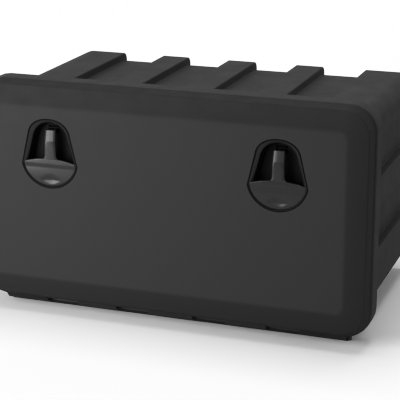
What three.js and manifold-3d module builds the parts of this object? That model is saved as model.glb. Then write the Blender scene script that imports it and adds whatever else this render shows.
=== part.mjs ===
// Trailer tool box: a ribbed polyethylene body with a bottom-hinged, double-skinned door that two
// pull latches hold shut. Millimetres, +Z up, the door faces -Y, origin on the floor under the centre.

import * as THREE from "three";
import { mergeVertices } from "three/addons/utils/BufferGeometryUtils.js";
import Module from "manifold-3d";

const wasm = await Module();
wasm.setup();

// Overall size
const WIDTH = 800;
const HEIGHT = 465;
const DEPTH = 500;

// Clearances and modelling allowances
const FIT = 0.3; // between pieces that touch on the real box
const OVERRUN = 4; // how far a cut runs past the face that it opens
const SINK = 1; // how far a boss or web is bedded into the wall that carries it

// Body
const BODY_WALL = 5;
const RIB_DEPTH = 16; // ribs stand this far out of the recesses between them
const CENTRE_RIB_WIDTH = 60;
const SIDE_RIB_WIDTH = 58;
const CORNER_BLOCK_WIDTH = 103; // the blocks at the box's ends
const LEDGE_SHARES = [0.311, 0.622]; // upper edges of the side recesses' ledges, as shares of the height
const SIDE_RECESS_HEIGHT = 82;
const SIDE_RECESS_REACH = 60; // how far the side recesses turn in across the body's back
const BODY_TOP_RADIUS = 30;
const BODY_BOTTOM_RADIUS = 42;
const BODY_REAR_RADIUS = 14;
const BODY_GROUND_CLEARANCE = 28;
const SKID_FRONT_SETBACK = 60; // from the flange's front face to the skids
const SKID_DRAFT = 6;
const OPENING_RADIUS = 22;

// Flange round the body's mouth
const FLANGE_SIDE_OVERHANG = 25; // beyond the body's ribs
const FLANGE_TOP_OVERHANG = 31;
const FLANGE_DEPTH = 42;
const FLANGE_RADIUS = 52;

// Door
const DOOR_THICKNESS = 47;
const DOOR_GAP = 3; // between the door's edge and the flange
const DOOR_SIDE_INSET = 3; // the door is this much narrower than the flange
const DOOR_RADIUS = 50;
const DOOR_DRAFT = 1; // the rim is this much narrower at its front
const DOOR_BOTTOM_RISE = 21; // the rim's underside climbs this much towards the front
const BEVEL_WIDTH = 42;
const BEVEL_DEPTH = 8;
const FACE_RADIUS = 12;
const EDGE_ROUND = 2.5; // rounding between the bevel and the rim
const PARTING_GAP = 1.5; // shadow line between the two door shells
const SKIN_WALL = 3.5;
const TRAY_WALL = 4;
const SPIGOT_DEPTH = 10;
const SPIGOT_WALL = 3;

// Pressed field in the door's inner shell
const FIELD_SIDE_INSET = 79; // from the door's side
const FIELD_BOTTOM = 84;
const FIELD_TOP_INSET = 110;
const FIELD_RISE = 6;
const FIELD_RADIUS = 26;
const FLUTE_WIDTH = 34;
const FLUTE_DEPTH = 5;
const FLUTE_PITCH = 106;
const FLUTES_EACH_SIDE = 2;
const FLUTE_MARGIN = 24;

// Seal
const SEAL_WIDTH = 11.4;
const SEAL_DEPTH = 8.4;
const SEAL_GROOVE_DEPTH = 6;
const SEAL_SIDE_INSET = 29; // from the door's side to the groove
const SEAL_BOTTOM_INSET = 12;
const SEAL_RADIUS = 30;
const SEAL_CHANNEL_WALL = 4;
const SEAL_BULB_SHARE = 0.5; // share of the seal's width at its crown

// Hinge
const BARREL_RADIUS = 8;
const HINGE_SETBACK = 71; // from the door's face to the hinge's axis
const KNUCKLE_FIRST_X = 80; // middle of the body's first knuckle from the centre
const KNUCKLE_PITCH = 150;
const BODY_KNUCKLE_LENGTH = 65;
const KNUCKLE_GAP = 1;
const HINGE_SIDE_INSET = 42; // from the box's side to the end of the hinge
const ROD_RADIUS = 3.7;
const CAP_RADIUS = 6.5;
const CAP_LENGTH = 5;
const CAP_WALL = 2;
const OPEN_ANGLE = THREE.MathUtils.degToRad(95);
const BODY_WEB_HALF = 6;
const KNUCKLE_ARM = 5; // thickness of the arm from the door to each of its knuckles

// Latch cup
const LATCH_SIDE_INSET = 171.3; // from the box's side to the latch's middle
const CUP_TOP_INSET = 62.3; // from the box's top to the cup's
const CUP_HEIGHT = 138.2;
const CUP_HALF_WIDTH = 58.7;
const CUP_SHOULDER = 47; // height of the widest place above the cup's bottom
const CUP_CROWN_HALF_WIDTH = 41;
const CUP_CROWN_DROP = 17; // from the cup's top down to where its crown meets the sides
const CUP_CORNER_RADIUS = 15;
const CUP_DEPTH = 26;
const CUP_WALL = 2.5;
const CUP_GAP = 1.2; // round the cup in the outer skin
const CUP_RIM = 1.3;
const CUP_CHAMFER = 6;
const CUP_DRAFT = 3;
const CUP_FLANGE_WIDTH = 11;
const CUP_FLANGE_THICKNESS = 3;
const CUP_FLANGE_SETBACK = 10.3; // from the door's face to the cup's flange
const CUP_SCREW_ANGLE = THREE.MathUtils.degToRad(-40); // of the lower screws, round the bowl
const CUP_SCREW_SIDE_SHARE = 0.66; // of the way up the straight sides
const CUP_BOSS_RADIUS = 4.6;

// Latch pivot
const PIVOT_SETBACK = 33; // from the door's face
const PIVOT_TOP_INSET = 88; // from the box's top
const PIN_RADIUS = 2.5;
const PIN_HEAD_RADIUS = 4;
const PIN_HEAD_LENGTH = 1.5;
const EAR_INSIDE = 16; // from the latch's middle to each ear
const EAR_THICKNESS = 4;
const EAR_RADIUS = 6;

// Pull handle
const STEM_WIDTH = 20;
const STEM_THICKNESS = 6;
const STEM_RECESS = 1.5; // behind the door's face
const STEM_FOOT_SPREAD = 3;
const STEM_SIDE_GAP = 1.5; // in the cup's slot
const BEND_DROP = 19; // from the pivot down to where the stem's front starts to lean back
const STEM_LEAN = 4.5; // of the stem's top behind its front
const STEM_TOP_RISE = 2; // above the pivot
const ARM_HEIGHT = 7.5; // of the arm that runs back from the stem's top to the hub
const ARM_CORNER = 4; // under the arm, where it leaves the stem
const HUB_RADIUS = 6;
const TANG_LENGTH = 9;
const PAD_GAP = 1.1; // between the pad and the cup's chamfer
const PAD_THICKNESS = 9;
const PAD_RECESS = 0.6;
const PAD_HEIGHT = 59.5; // of the pad's top above the cup's bottom
const PAD_ARCH = 9; // the pad's upper edge drops this much to its ends
const DISH_HALF_WIDTH = 23;
const DISH_HALF_HEIGHT = 10;
const DISH_DEPTH = 3.6;
const DISH_BALL_DEPTH = 8; // half depth of the ellipsoid that cuts the dish
const DISH_HEIGHT = 17; // the dish's middle above the cup's bottom

// Hook, keeper and return spring
const HOOK_WIDTH = 20;
const HOOK_PLATE = 3;
const HOOK_NOSE_TIP = 2;
const HOOK_RAMP = 11;
const KEEPER_WIDTH = 56;
const KEEPER_PLATE = 3;
const KEEPER_LENGTH = 30;
const KEEPER_LIP_LENGTH = 15;
const KEEPER_SETBACK = 5; // from the flange's wall to the lip
const HOOK_TO_LIP = 0.7; // under the lip, so that the door's joint moves freely by itself
const HOOK_BEHIND_LIP = 0.5;
const HOOK_FRONT_REACH = 3; // of the hook's plate in front of the pivot
const SLOT_MARGIN = 3;
const SPRING_WIRE_RADIUS = 0.6;
const SPRING_COIL_RADIUS = 3.6;
const SPRING_PITCH = 1.7;
const SPRING_TURNS = 2.25;
const SPRING_LOW_LEG = 13;
const SPRING_BACK_LEG = 7;
const SPRING_STEPS_PER_TURN = 8;
const SPRING_SIDES = 5;

// Screws
const SCREW_RADIUS = 2;
const SCREW_HEAD_RADIUS = 4;
const SCREW_HEAD_HEIGHT = 2.4;
const BOSS_RADIUS = 6;
const PANEL_SCREW_LENGTH = 16;
const CUP_SCREW_LENGTH = 8;
const HOOK_SCREW_LENGTH = 7.5;
const HOOK_SCREW_RADIUS = 1.4;
const HOOK_SCREW_HEAD_RADIUS = 2.8;
const HOOK_SCREW_HEAD_HEIGHT = 1.6;
const HOOK_SCREW_X = 5.5;
const HOOK_SCREW_BACK = 5.2;
const KEEPER_SCREW_X = 19;
const KEEPER_SCREW_LENGTH = 7;
const SCREW_SIDE_INSET = 66; // from the box's side to the outer screws
const SCREW_INNER_OFFSET = 98.7; // from the latch's middle to the inner screws
const SCREW_LOW_Z = 64;
const SCREW_TOP_INSET = 66; // from the box's top to the upper screws

// Facets of round stretches
const CORNER_STEPS = 6;
const CUP_STEPS = 6;
const SMALL_STEPS = 3;
const ROUND_SIDES = 16;
const SCREW_SIDES = 8;

// Places that follow from the sizes
const FACE_Y = -DEPTH / 2;
const DOOR_REAR_Y = FACE_Y + DOOR_THICKNESS;
const CREASE_Y = FACE_Y + BEVEL_DEPTH;
const TRAY_FRONT_Y = CREASE_Y + PARTING_GAP;
const FLANGE_Y = DOOR_REAR_Y + DOOR_GAP;
const FLANGE_REAR_Y = FLANGE_Y + FLANGE_DEPTH;
const FLANGE_BOTTOM = 2 * BARREL_RADIUS;
const FLOOR_Z = 0;
const HINGE_Y = FACE_Y + HINGE_SETBACK;
const HINGE_Z = BARREL_RADIUS;
const HINGE_HALF_LENGTH = WIDTH / 2 - HINGE_SIDE_INSET;
const BODY_HALF_WIDTH = WIDTH / 2 - FLANGE_SIDE_OVERHANG;
const CORNER_BLOCK_X = BODY_HALF_WIDTH - CORNER_BLOCK_WIDTH;
const SIDE_RIB_X = (CENTRE_RIB_WIDTH / 2 + CORNER_BLOCK_X) / 2; // middle of each side's rib
const BODY_TOP = HEIGHT - FLANGE_TOP_OVERHANG;
const BODY_BOTTOM = BODY_GROUND_CLEARANCE;
const BODY_REAR_Y = DEPTH / 2;
const CORE_HALF_WIDTH = BODY_HALF_WIDTH - RIB_DEPTH;
const CORE_TOP = BODY_TOP - RIB_DEPTH;
const CORE_BOTTOM = BODY_BOTTOM + RIB_DEPTH;
const CORE_REAR_Y = BODY_REAR_Y - RIB_DEPTH;
const CEILING = CORE_TOP - BODY_WALL;
const DOOR_HALF_WIDTH = WIDTH / 2 - DOOR_SIDE_INSET;
const DOOR_BOTTOM = FLANGE_BOTTOM + SINK;
const FIELD_HALF_WIDTH = DOOR_HALF_WIDTH - FIELD_SIDE_INSET;
const FIELD_TOP = HEIGHT - FIELD_TOP_INSET;
const SCREW_COLUMN_X = WIDTH / 2 - SCREW_SIDE_INSET;
const SCREW_HIGH_Z = HEIGHT - SCREW_TOP_INSET;
const ROD_HOLE_RADIUS = ROD_RADIUS + FIT;
const LATCH_X = WIDTH / 2 - LATCH_SIDE_INSET;
const SCREW_INNER_X = LATCH_X - SCREW_INNER_OFFSET;
const CUP_BOTTOM = HEIGHT - CUP_TOP_INSET - CUP_HEIGHT;
const PAD_TOP = CUP_BOTTOM + PAD_HEIGHT;
const PIVOT_Y = FACE_Y + PIVOT_SETBACK;
const PIVOT_Z = HEIGHT - PIVOT_TOP_INSET;
const BEND_HEIGHT = PIVOT_Z - BEND_DROP;
const STEM_TOP = PIVOT_Z + STEM_TOP_RISE;
const ARM_BOTTOM = STEM_TOP - ARM_HEIGHT;
const CUP_FLANGE_Y = FACE_Y + CUP_FLANGE_SETBACK;
const CUP_FLOOR_Y = FACE_Y + CUP_DEPTH;
const CUP_BACK_Y = CUP_FLOOR_Y + CUP_WALL;
const KEEPER_LIP_Y = FLANGE_Y + BODY_WALL + KEEPER_SETBACK;
const KEEPER_LIP_BOTTOM = CEILING - FIT - KEEPER_LIP_LENGTH;
const HOOK_TOP = KEEPER_LIP_BOTTOM - HOOK_TO_LIP;
const HOOK_PLATE_BOTTOM = PIVOT_Z + HUB_RADIUS + FIT;
const HOOK_PLATE_TOP = HOOK_PLATE_BOTTOM + HOOK_PLATE;

// Materials
function plastic(color, roughness) {
  return new THREE.MeshStandardMaterial({ color, roughness, metalness: 0 });
}
function metal(color, roughness) {
  return new THREE.MeshStandardMaterial({ color, roughness, metalness: 1 });
}
const bodyPlastic = plastic("#2b2b2c", 0.62);
const doorPlastic = plastic("#2a2a2b", 0.55);
const latchPlastic = plastic("#161617", 0.25);
const handlePlastic = plastic("#262627", 0.38);
const sealRubber = plastic("#1b1b1b", 0.85);
const zincSteel = metal("#b6bac0", 0.35);
const stainlessSteel = metal("#a9abae", 0.25);

// Geometry helpers

// The geometry as a solid that can be joined and cut.
function solidFrom(geometry) {
  const bare = geometry.clone();
  bare.deleteAttribute("normal");
  bare.deleteAttribute("uv");
  const merged = mergeVertices(bare);
  return new wasm.Manifold(
    new wasm.Mesh({
      numProp: 3,
      vertProperties: merged.attributes.position.array,
      triVerts: new Uint32Array(merged.index.array),
    }),
  );
}

// A named mesh from a solid.
function meshFrom(solid, name, material) {
  const { vertProperties, triVerts } = solid.getMesh();
  const geometry = new THREE.BufferGeometry();
  geometry.setAttribute("position", new THREE.BufferAttribute(vertProperties, 3));
  geometry.setIndex(new THREE.BufferAttribute(triVerts, 1));
  geometry.computeVertexNormals();
  const mesh = new THREE.Mesh(geometry, material);
  mesh.name = name;
  return mesh;
}

function joined(solids) {
  return solids.reduce((whole, next) => whole.add(next));
}

function box(x0, x1, y0, y1, z0, z1) {
  const geometry = new THREE.BoxGeometry(x1 - x0, y1 - y0, z1 - z0);
  geometry.translate((x0 + x1) / 2, (y0 + y1) / 2, (z0 + z1) / 2);
  return solidFrom(geometry);
}

// A cylinder along the X axis, centred at (x, y, z).
function barX(radius, length, x, y, z, sides = ROUND_SIDES) {
  const geometry = new THREE.CylinderGeometry(radius, radius, length, sides);
  geometry.rotateZ(Math.PI / 2).translate(x, y, z);
  return solidFrom(geometry);
}

// A cylinder along the Y axis, from y0 to y1.
function barY(radius, x, y0, y1, z, sides = ROUND_SIDES) {
  const geometry = new THREE.CylinderGeometry(radius, radius, y1 - y0, sides);
  geometry.translate(x, (y0 + y1) / 2, z);
  return solidFrom(geometry);
}

// A cylinder along the Z axis, from z0 to z1.
function barZ(radius, x, y, z0, z1, sides = ROUND_SIDES) {
  const geometry = new THREE.CylinderGeometry(radius, radius, z1 - z0, sides);
  geometry.rotateX(Math.PI / 2).translate(x, y, (z0 + z1) / 2);
  return solidFrom(geometry);
}

// A side-view outline of (y, z) points, extruded from x0 to x1.
function profileX(points, x0, x1) {
  const shape = new THREE.Shape(points.map(([y, z]) => new THREE.Vector2(y, z)));
  const geometry = new THREE.ExtrudeGeometry(shape, { depth: x1 - x0, bevelEnabled: false });
  const toYZ = new THREE.Matrix4().makeBasis(
    new THREE.Vector3(0, 1, 0),
    new THREE.Vector3(0, 0, 1),
    new THREE.Vector3(1, 0, 0),
  );
  geometry.applyMatrix4(toYZ).translate(x0, 0, 0);
  return solidFrom(geometry);
}

// A rounded rectangle in the XZ plane, as (x, z) points that run anticlockwise seen from the front.
function roundedLoop(halfWidth, bottom, top, lowRadius, highRadius = lowRadius, steps = CORNER_STEPS) {
  const corners = [
    [-1, bottom + lowRadius, lowRadius, 2],
    [1, bottom + lowRadius, lowRadius, 3],
    [1, top - highRadius, highRadius, 0],
    [-1, top - highRadius, highRadius, 1],
  ];
  return corners.flatMap(([side, z, radius, quarter]) =>
    Array.from({ length: steps + 1 }, (_, i) => {
      const angle = (quarter + i / steps) * (Math.PI / 2);
      return [side * (halfWidth - radius) + radius * Math.cos(angle), z + radius * Math.sin(angle)];
    }),
  );
}

// A closed solid through loops of equal count, each { loop, y }, ordered from the front to the back.
function loft(rings) {
  const count = rings[0].loop.length;
  const positions = rings.flatMap(({ loop, y }) => loop.flatMap(([x, z]) => [x, y, z]));
  const index = [];
  for (let i = 1; i < count - 1; i += 1) {
    const rear = (rings.length - 1) * count;
    index.push(0, i, i + 1, rear, rear + i + 1, rear + i);
  }
  for (let r = 0; r < rings.length - 1; r += 1) {
    for (let i = 0; i < count; i += 1) {
      const a = r * count + i;
      const b = r * count + ((i + 1) % count);
      index.push(a, a + count, b, b, a + count, b + count);
    }
  }
  const geometry = new THREE.BufferGeometry();
  geometry.setAttribute("position", new THREE.Float32BufferAttribute(positions, 3));
  geometry.setIndex(index);
  return solidFrom(geometry);
}

// A ring that follows a rounded rectangle, from y0 to y1 and from the loop inwards by width.
function frameRing(halfWidth, bottom, top, radius, width, y0, y1) {
  const outer = roundedLoop(halfWidth, bottom, top, radius);
  const inner = roundedLoop(halfWidth - width, bottom + width, top - width, radius - width);
  const hole = loft([
    { loop: inner, y: y0 - OVERRUN },
    { loop: inner, y: y1 + OVERRUN },
  ]);
  return loft([
    { loop: outer, y: y0 },
    { loop: outer, y: y1 },
  ]).subtract(hole);
}

const SIDES = [
  { side: "left", sign: -1 },
  { side: "right", sign: 1 },
];

// Body shell

// The outer form of the ribbed box, or with an inset the space inside its walls.
function bodyForm(inset) {
  const rear = BODY_REAR_Y - inset;
  const front = FLANGE_Y + inset;
  const ring = (more) =>
    roundedLoop(
      BODY_HALF_WIDTH - inset - more,
      BODY_BOTTOM + inset + more,
      BODY_TOP - inset - more,
      BODY_BOTTOM_RADIUS - inset - more,
      BODY_TOP_RADIUS - inset - more,
    );
  const round = BODY_REAR_RADIUS - inset;
  const rearRings = Array.from({ length: SMALL_STEPS + 1 }, (_, i) => {
    const angle = (i / SMALL_STEPS) * (Math.PI / 2);
    return { loop: ring(round * (1 - Math.cos(angle))), y: rear - round + round * Math.sin(angle) };
  });
  const whole = loft([{ loop: ring(0), y: front }, ...rearRings]);
  const recessFront = FLANGE_Y + BODY_WALL + RIB_DEPTH - inset;
  const far = BODY_REAR_Y + OVERRUN;
  const hoops = [
    [CENTRE_RIB_WIDTH / 2, SIDE_RIB_X - SIDE_RIB_WIDTH / 2],
    [SIDE_RIB_X + SIDE_RIB_WIDTH / 2, CORNER_BLOCK_X],
  ];
  const cuts = SIDES.flatMap(({ sign }) => [
    ...hoops.map(([x0, x1]) => {
      const [low, high] = sign > 0 ? [x0, x1] : [-x1, -x0];
      return box(low - inset, high + inset, recessFront, far, FLOOR_Z - OVERRUN, HEIGHT);
    }),
    ...LEDGE_SHARES.map((share) => {
      const ledge = share * HEIGHT;
      const inside = BODY_HALF_WIDTH - SIDE_RECESS_REACH - inset;
      const [low, high] = sign > 0 ? [inside, WIDTH] : [-WIDTH, -inside];
      return box(low, high, recessFront, far, ledge - inset, ledge + SIDE_RECESS_HEIGHT + inset);
    }),
  ]);
  const core = box(
    -CORE_HALF_WIDTH + inset,
    CORE_HALF_WIDTH - inset,
    front,
    CORE_REAR_Y - inset,
    CORE_BOTTOM + inset,
    CORE_TOP - inset,
  );
  return joined([whole.subtract(joined(cuts)), core, ...SIDES.map(({ sign }) => skid(sign, inset))]);
}

// A moulded runner under the rib on one side, on which the box stands level.
function skid(sign, inset) {
  const half = SIDE_RIB_WIDTH / 2 - inset;
  const front = FLANGE_Y + SKID_FRONT_SETBACK + inset;
  const rear = BODY_REAR_Y - BODY_REAR_RADIUS - inset;
  const top = CORE_BOTTOM + BODY_WALL;
  const x = sign * SIDE_RIB_X;
  const outline = [
    [x - half, top],
    [x - half + SKID_DRAFT, FLOOR_Z + inset],
    [x + half - SKID_DRAFT, FLOOR_Z + inset],
    [x + half, top],
  ];
  return loft([
    { loop: outline, y: front },
    { loop: outline, y: rear },
  ]);
}

// Middles of the body's knuckles along the hinge.
function bodyKnuckleCentres() {
  const first = KNUCKLE_FIRST_X;
  return [-first - KNUCKLE_PITCH, -first, first, first + KNUCKLE_PITCH];
}

function bodyShell() {
  const flangeLoop = (inset) =>
    roundedLoop(WIDTH / 2 - inset, FLANGE_BOTTOM + inset, HEIGHT - inset, FLANGE_RADIUS - inset);
  const flange = loft([
    { loop: flangeLoop(0), y: FLANGE_Y },
    { loop: flangeLoop(0), y: FLANGE_REAR_Y },
  ]).subtract(
    loft([
      { loop: flangeLoop(BODY_WALL), y: FLANGE_Y + BODY_WALL },
      { loop: flangeLoop(BODY_WALL), y: FLANGE_REAR_Y + OVERRUN },
    ]),
  );
  const mouthLoop = roundedLoop(
    CORE_HALF_WIDTH - BODY_WALL,
    CORE_BOTTOM + BODY_WALL,
    CEILING,
    OPENING_RADIUS,
  );
  const mouth = loft([
    { loop: mouthLoop, y: FLANGE_Y - OVERRUN },
    { loop: mouthLoop, y: FLANGE_Y + BODY_WALL + OVERRUN },
  ]);
  const knuckles = bodyKnuckleCentres().flatMap((x) => [
    barX(BARREL_RADIUS, BODY_KNUCKLE_LENGTH, x, HINGE_Y, HINGE_Z),
    box(
      x - BODY_KNUCKLE_LENGTH / 2,
      x + BODY_KNUCKLE_LENGTH / 2,
      HINGE_Y - BODY_WEB_HALF,
      HINGE_Y + BODY_WEB_HALF,
      HINGE_Z,
      FLANGE_BOTTOM + SINK,
    ),
  ]);
  const screwHoles = SIDES.flatMap(({ sign }) =>
    keeperScrewPlaces(sign).map(([x, y]) =>
      barZ(SCREW_RADIUS + FIT, x, y, CEILING - OVERRUN, CEILING + BODY_WALL - SINK, SCREW_SIDES),
    ),
  );
  return joined([bodyForm(0), flange, ...knuckles])
    .subtract(bodyForm(BODY_WALL))
    .subtract(mouth)
    .subtract(barX(ROD_HOLE_RADIUS, WIDTH, 0, HINGE_Y, HINGE_Z))
    .subtract(joined(screwHoles));
}

// Door: outer skin, inner tray, seal and the screws that hold the two shells together

// Half width, bottom and top of the door's rim at a depth y.
function doorRim(y, inset = 0) {
  const share = (DOOR_REAR_Y - y) / (DOOR_REAR_Y - CREASE_Y);
  return {
    halfWidth: DOOR_HALF_WIDTH - share * DOOR_DRAFT - inset,
    bottom: DOOR_BOTTOM + share * DOOR_BOTTOM_RISE + inset,
    top: HEIGHT - inset,
    radius: DOOR_RADIUS - inset,
  };
}

function rimLoop(y, inset = 0) {
  const { halfWidth, bottom, top, radius } = doorRim(y, inset);
  return roundedLoop(halfWidth, bottom, top, radius);
}

// Loops of the outer skin's front, from the flat face back to its edge, moved in by a wall.
function skinRings(wall) {
  const edge = doorRim(CREASE_Y, wall);
  const bevelLoop = (inset, radius) =>
    roundedLoop(edge.halfWidth - inset, edge.bottom + inset, edge.top - inset, radius);
  const shoulder = EDGE_ROUND * (1 - Math.SQRT1_2);
  return [
    { loop: bevelLoop(BEVEL_WIDTH - wall, FACE_RADIUS), y: FACE_Y + wall },
    { loop: bevelLoop(EDGE_ROUND, edge.radius - EDGE_ROUND), y: CREASE_Y + wall - EDGE_ROUND },
    { loop: bevelLoop(shoulder, edge.radius - shoulder), y: CREASE_Y + wall - shoulder },
    { loop: bevelLoop(0, edge.radius), y: CREASE_Y + wall },
  ];
}

// Places (x, z) of the screws that join the door's shells.
function panelScrewPlaces() {
  const middle = (SCREW_LOW_Z + SCREW_HIGH_Z) / 2;
  return SIDES.flatMap(({ side, sign }) => [
    [`${side}_low`, sign * SCREW_COLUMN_X, SCREW_LOW_Z],
    [`${side}_middle`, sign * SCREW_COLUMN_X, middle],
    [`${side}_high`, sign * SCREW_COLUMN_X, SCREW_HIGH_Z],
    [`inner_${side}_low`, sign * SCREW_INNER_X, SCREW_LOW_Z],
    [`inner_${side}_high`, sign * SCREW_INNER_X, SCREW_HIGH_Z],
  ]);
}

function doorOuterPanel() {
  const outside = loft([...skinRings(0), { loop: rimLoop(CREASE_Y), y: CREASE_Y + SINK }]);
  const inside = loft([
    ...skinRings(SKIN_WALL),
    { loop: rimLoop(CREASE_Y, SKIN_WALL), y: TRAY_FRONT_Y + OVERRUN },
  ]);
  const spigotInset = TRAY_WALL + 2 * FIT + DOOR_DRAFT;
  const spigotEnd = CREASE_Y + SPIGOT_DEPTH;
  const { halfWidth, bottom, top, radius } = doorRim(CREASE_Y, spigotInset);
  const spigot = frameRing(halfWidth, bottom, top, radius, SPIGOT_WALL, CREASE_Y - SINK, spigotEnd);
  const bossStart = FACE_Y + SKIN_WALL - SINK / 4;
  const bosses = panelScrewPlaces().map(([, x, z]) => barY(BOSS_RADIUS, x, bossStart, bossEndY(), z));
  const pilots = panelScrewPlaces().map(([, x, z]) =>
    barY(SCREW_RADIUS + FIT, x, bossEndY() - PANEL_SCREW_LENGTH, bossEndY() + OVERRUN, z, SCREW_SIDES),
  );
  const cupBosses = SIDES.flatMap(({ sign }) =>
    cupScrewPlaces(sign).map(([, x, z]) =>
      barY(CUP_BOSS_RADIUS, x, FACE_Y + SKIN_WALL - SINK, CUP_FLANGE_Y - FIT, z),
    ),
  );
  const cupPilots = SIDES.flatMap(({ sign }) =>
    cupScrewPlaces(sign).map(([, x, z]) =>
      barY(SCREW_RADIUS + FIT, x, FACE_Y + SKIN_WALL - SINK, CUP_FLANGE_Y + OVERRUN, z, SCREW_SIDES),
    ),
  );
  const holes = SIDES.map(({ sign }) => {
    const loop = cupLoop(sign, 0);
    return loft([
      { loop, y: FACE_Y - OVERRUN },
      { loop, y: FACE_Y + SKIN_WALL + OVERRUN },
    ]);
  });
  return joined([outside.subtract(inside), spigot, ...bosses, ...cupBosses])
    .subtract(joined([...pilots, ...cupPilots]))
    .subtract(joined(holes));
}

// Where the outer skin's bosses end, against the tray's back wall.
function bossEndY() {
  return DOOR_REAR_Y - TRAY_WALL - FIT;
}

// The seal's groove: half width, bottom and top of its outer edge.
function sealTrack() {
  return {
    halfWidth: DOOR_HALF_WIDTH - SEAL_SIDE_INSET,
    bottom: DOOR_BOTTOM + SEAL_BOTTOM_INSET,
    top: HEIGHT - SEAL_SIDE_INSET,
  };
}

// Spans (x0, x1) of the door's knuckles, between and outside the body's.
function doorKnuckleSpans() {
  const half = BODY_KNUCKLE_LENGTH / 2 + KNUCKLE_GAP;
  const end = HINGE_HALF_LENGTH - CAP_LENGTH - KNUCKLE_GAP;
  const centres = bodyKnuckleCentres();
  const starts = [-end, ...centres.map((x) => x + half)];
  const ends = [...centres.map((x) => x - half), end];
  return starts.map((start, i) => [start, ends[i]]);
}

// One door knuckle: the barrel, its arm to the tray, and the square heel that stops the open door.
function doorKnuckle(x0, x1) {
  const barrel = barX(BARREL_RADIUS, x1 - x0, (x0 + x1) / 2, HINGE_Y, HINGE_Z);
  const armTop = FLANGE_BOTTOM - FIT;
  const armBack = DOOR_REAR_Y - 2 * TRAY_WALL;
  const climb = DOOR_BOTTOM_RISE / (DOOR_REAR_Y - CREASE_Y);
  const underside = (y) => DOOR_BOTTOM + (DOOR_REAR_Y - y) * climb;
  const arm = profileX(
    [
      [armBack, underside(armBack) + TRAY_WALL],
      [armBack, underside(armBack)],
      [DOOR_REAR_Y, armTop - KNUCKLE_ARM],
      [HINGE_Y - BARREL_RADIUS / 2, HINGE_Z],
      [HINGE_Y, HINGE_Z],
      [HINGE_Y, armTop],
      [DOOR_REAR_Y, armTop],
      [DOOR_REAR_Y, underside(DOOR_REAR_Y) + TRAY_WALL],
    ],
    x0,
    x1,
  );
  const heelDrop = BARREL_RADIUS - FIT;
  const meets = FLANGE_BOTTOM - HINGE_Z - FIT;
  const heelBack = (meets + heelDrop * Math.cos(OPEN_ANGLE)) / Math.sin(OPEN_ANGLE);
  const heel = box(x0, x1, HINGE_Y, HINGE_Y + heelBack, HINGE_Z - heelDrop, HINGE_Z);
  return joined([barrel, arm, heel]);
}

function doorInnerPanel() {
  const outside = loft([
    { loop: rimLoop(TRAY_FRONT_Y), y: TRAY_FRONT_Y },
    { loop: rimLoop(DOOR_REAR_Y), y: DOOR_REAR_Y },
  ]);
  const hollow = loft([
    { loop: rimLoop(TRAY_FRONT_Y - OVERRUN, TRAY_WALL), y: TRAY_FRONT_Y - OVERRUN },
    { loop: rimLoop(DOOR_REAR_Y - TRAY_WALL, TRAY_WALL), y: DOOR_REAR_Y - TRAY_WALL },
  ]);
  const { halfWidth, bottom, top } = sealTrack();
  const grooveY = DOOR_REAR_Y - SEAL_GROOVE_DEPTH;
  const grooveWidth = SEAL_WIDTH + 2 * FIT;
  const grooveEnd = DOOR_REAR_Y + OVERRUN;
  const channel = frameRing(
    halfWidth + SEAL_CHANNEL_WALL,
    bottom - SEAL_CHANNEL_WALL,
    top + SEAL_CHANNEL_WALL,
    SEAL_RADIUS + SEAL_CHANNEL_WALL,
    grooveWidth + 2 * SEAL_CHANNEL_WALL,
    grooveY - SEAL_CHANNEL_WALL,
    DOOR_REAR_Y - SINK,
  );
  const groove = frameRing(halfWidth, bottom, top, SEAL_RADIUS, grooveWidth, grooveY, grooveEnd);
  const knuckles = doorKnuckleSpans().map(([x0, x1]) => doorKnuckle(x0, x1));
  const rodHole = barX(ROD_HOLE_RADIUS, WIDTH, 0, HINGE_Y, HINGE_Z);
  const screwHoles = panelScrewPlaces().map(([, x, z]) =>
    barY(SCREW_RADIUS + FIT, x, DOOR_REAR_Y - TRAY_WALL - OVERRUN, DOOR_REAR_Y + OVERRUN, z, SCREW_SIDES),
  );
  const slots = SIDES.map(({ sign }) => {
    const x = sign * LATCH_X;
    const half = HOOK_WIDTH / 2 + SLOT_MARGIN;
    const low = PIVOT_Z - HUB_RADIUS + SINK;
    const wallFront = DOOR_REAR_Y - TRAY_WALL;
    return box(x - half, x + half, wallFront - OVERRUN, grooveEnd, low, HOOK_TOP + FIT);
  });
  return joined([outside.subtract(hollow), pressedField(0), channel, ...knuckles])
    .subtract(pressedField(TRAY_WALL))
    .subtract(groove)
    .subtract(rodHole)
    .subtract(joined([...screwHoles, ...slots]));
}

// The raised field that stiffens the tray's back wall, or with an inset the hollow behind it.
function pressedField(inset) {
  const loop = roundedLoop(
    FIELD_HALF_WIDTH - inset,
    FIELD_BOTTOM + inset,
    FIELD_TOP - inset,
    FIELD_RADIUS - inset,
  );
  const crown = roundedLoop(
    FIELD_HALF_WIDTH - inset - FIELD_RISE,
    FIELD_BOTTOM + inset + FIELD_RISE,
    FIELD_TOP - inset - FIELD_RISE,
    FIELD_RADIUS - inset - FIELD_RISE,
  );
  const raised = loft([
    { loop, y: DOOR_REAR_Y - TRAY_WALL - (inset > 0 ? OVERRUN : 0) },
    { loop, y: DOOR_REAR_Y - inset },
    { loop: crown, y: DOOR_REAR_Y + FIELD_RISE - inset },
  ]);
  const flutes = Array.from({ length: 2 * FLUTES_EACH_SIDE + 1 }, (_, i) => {
    const x = (i - FLUTES_EACH_SIDE) * FLUTE_PITCH;
    const half = FLUTE_WIDTH / 2 + inset;
    const low = FIELD_BOTTOM + FLUTE_MARGIN - inset;
    const high = FIELD_TOP - FLUTE_MARGIN + inset;
    return box(x - half, x + half, DOOR_REAR_Y + FIELD_RISE - FLUTE_DEPTH - inset, FLANGE_REAR_Y, low, high);
  });
  return raised.subtract(joined(flutes));
}

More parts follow.
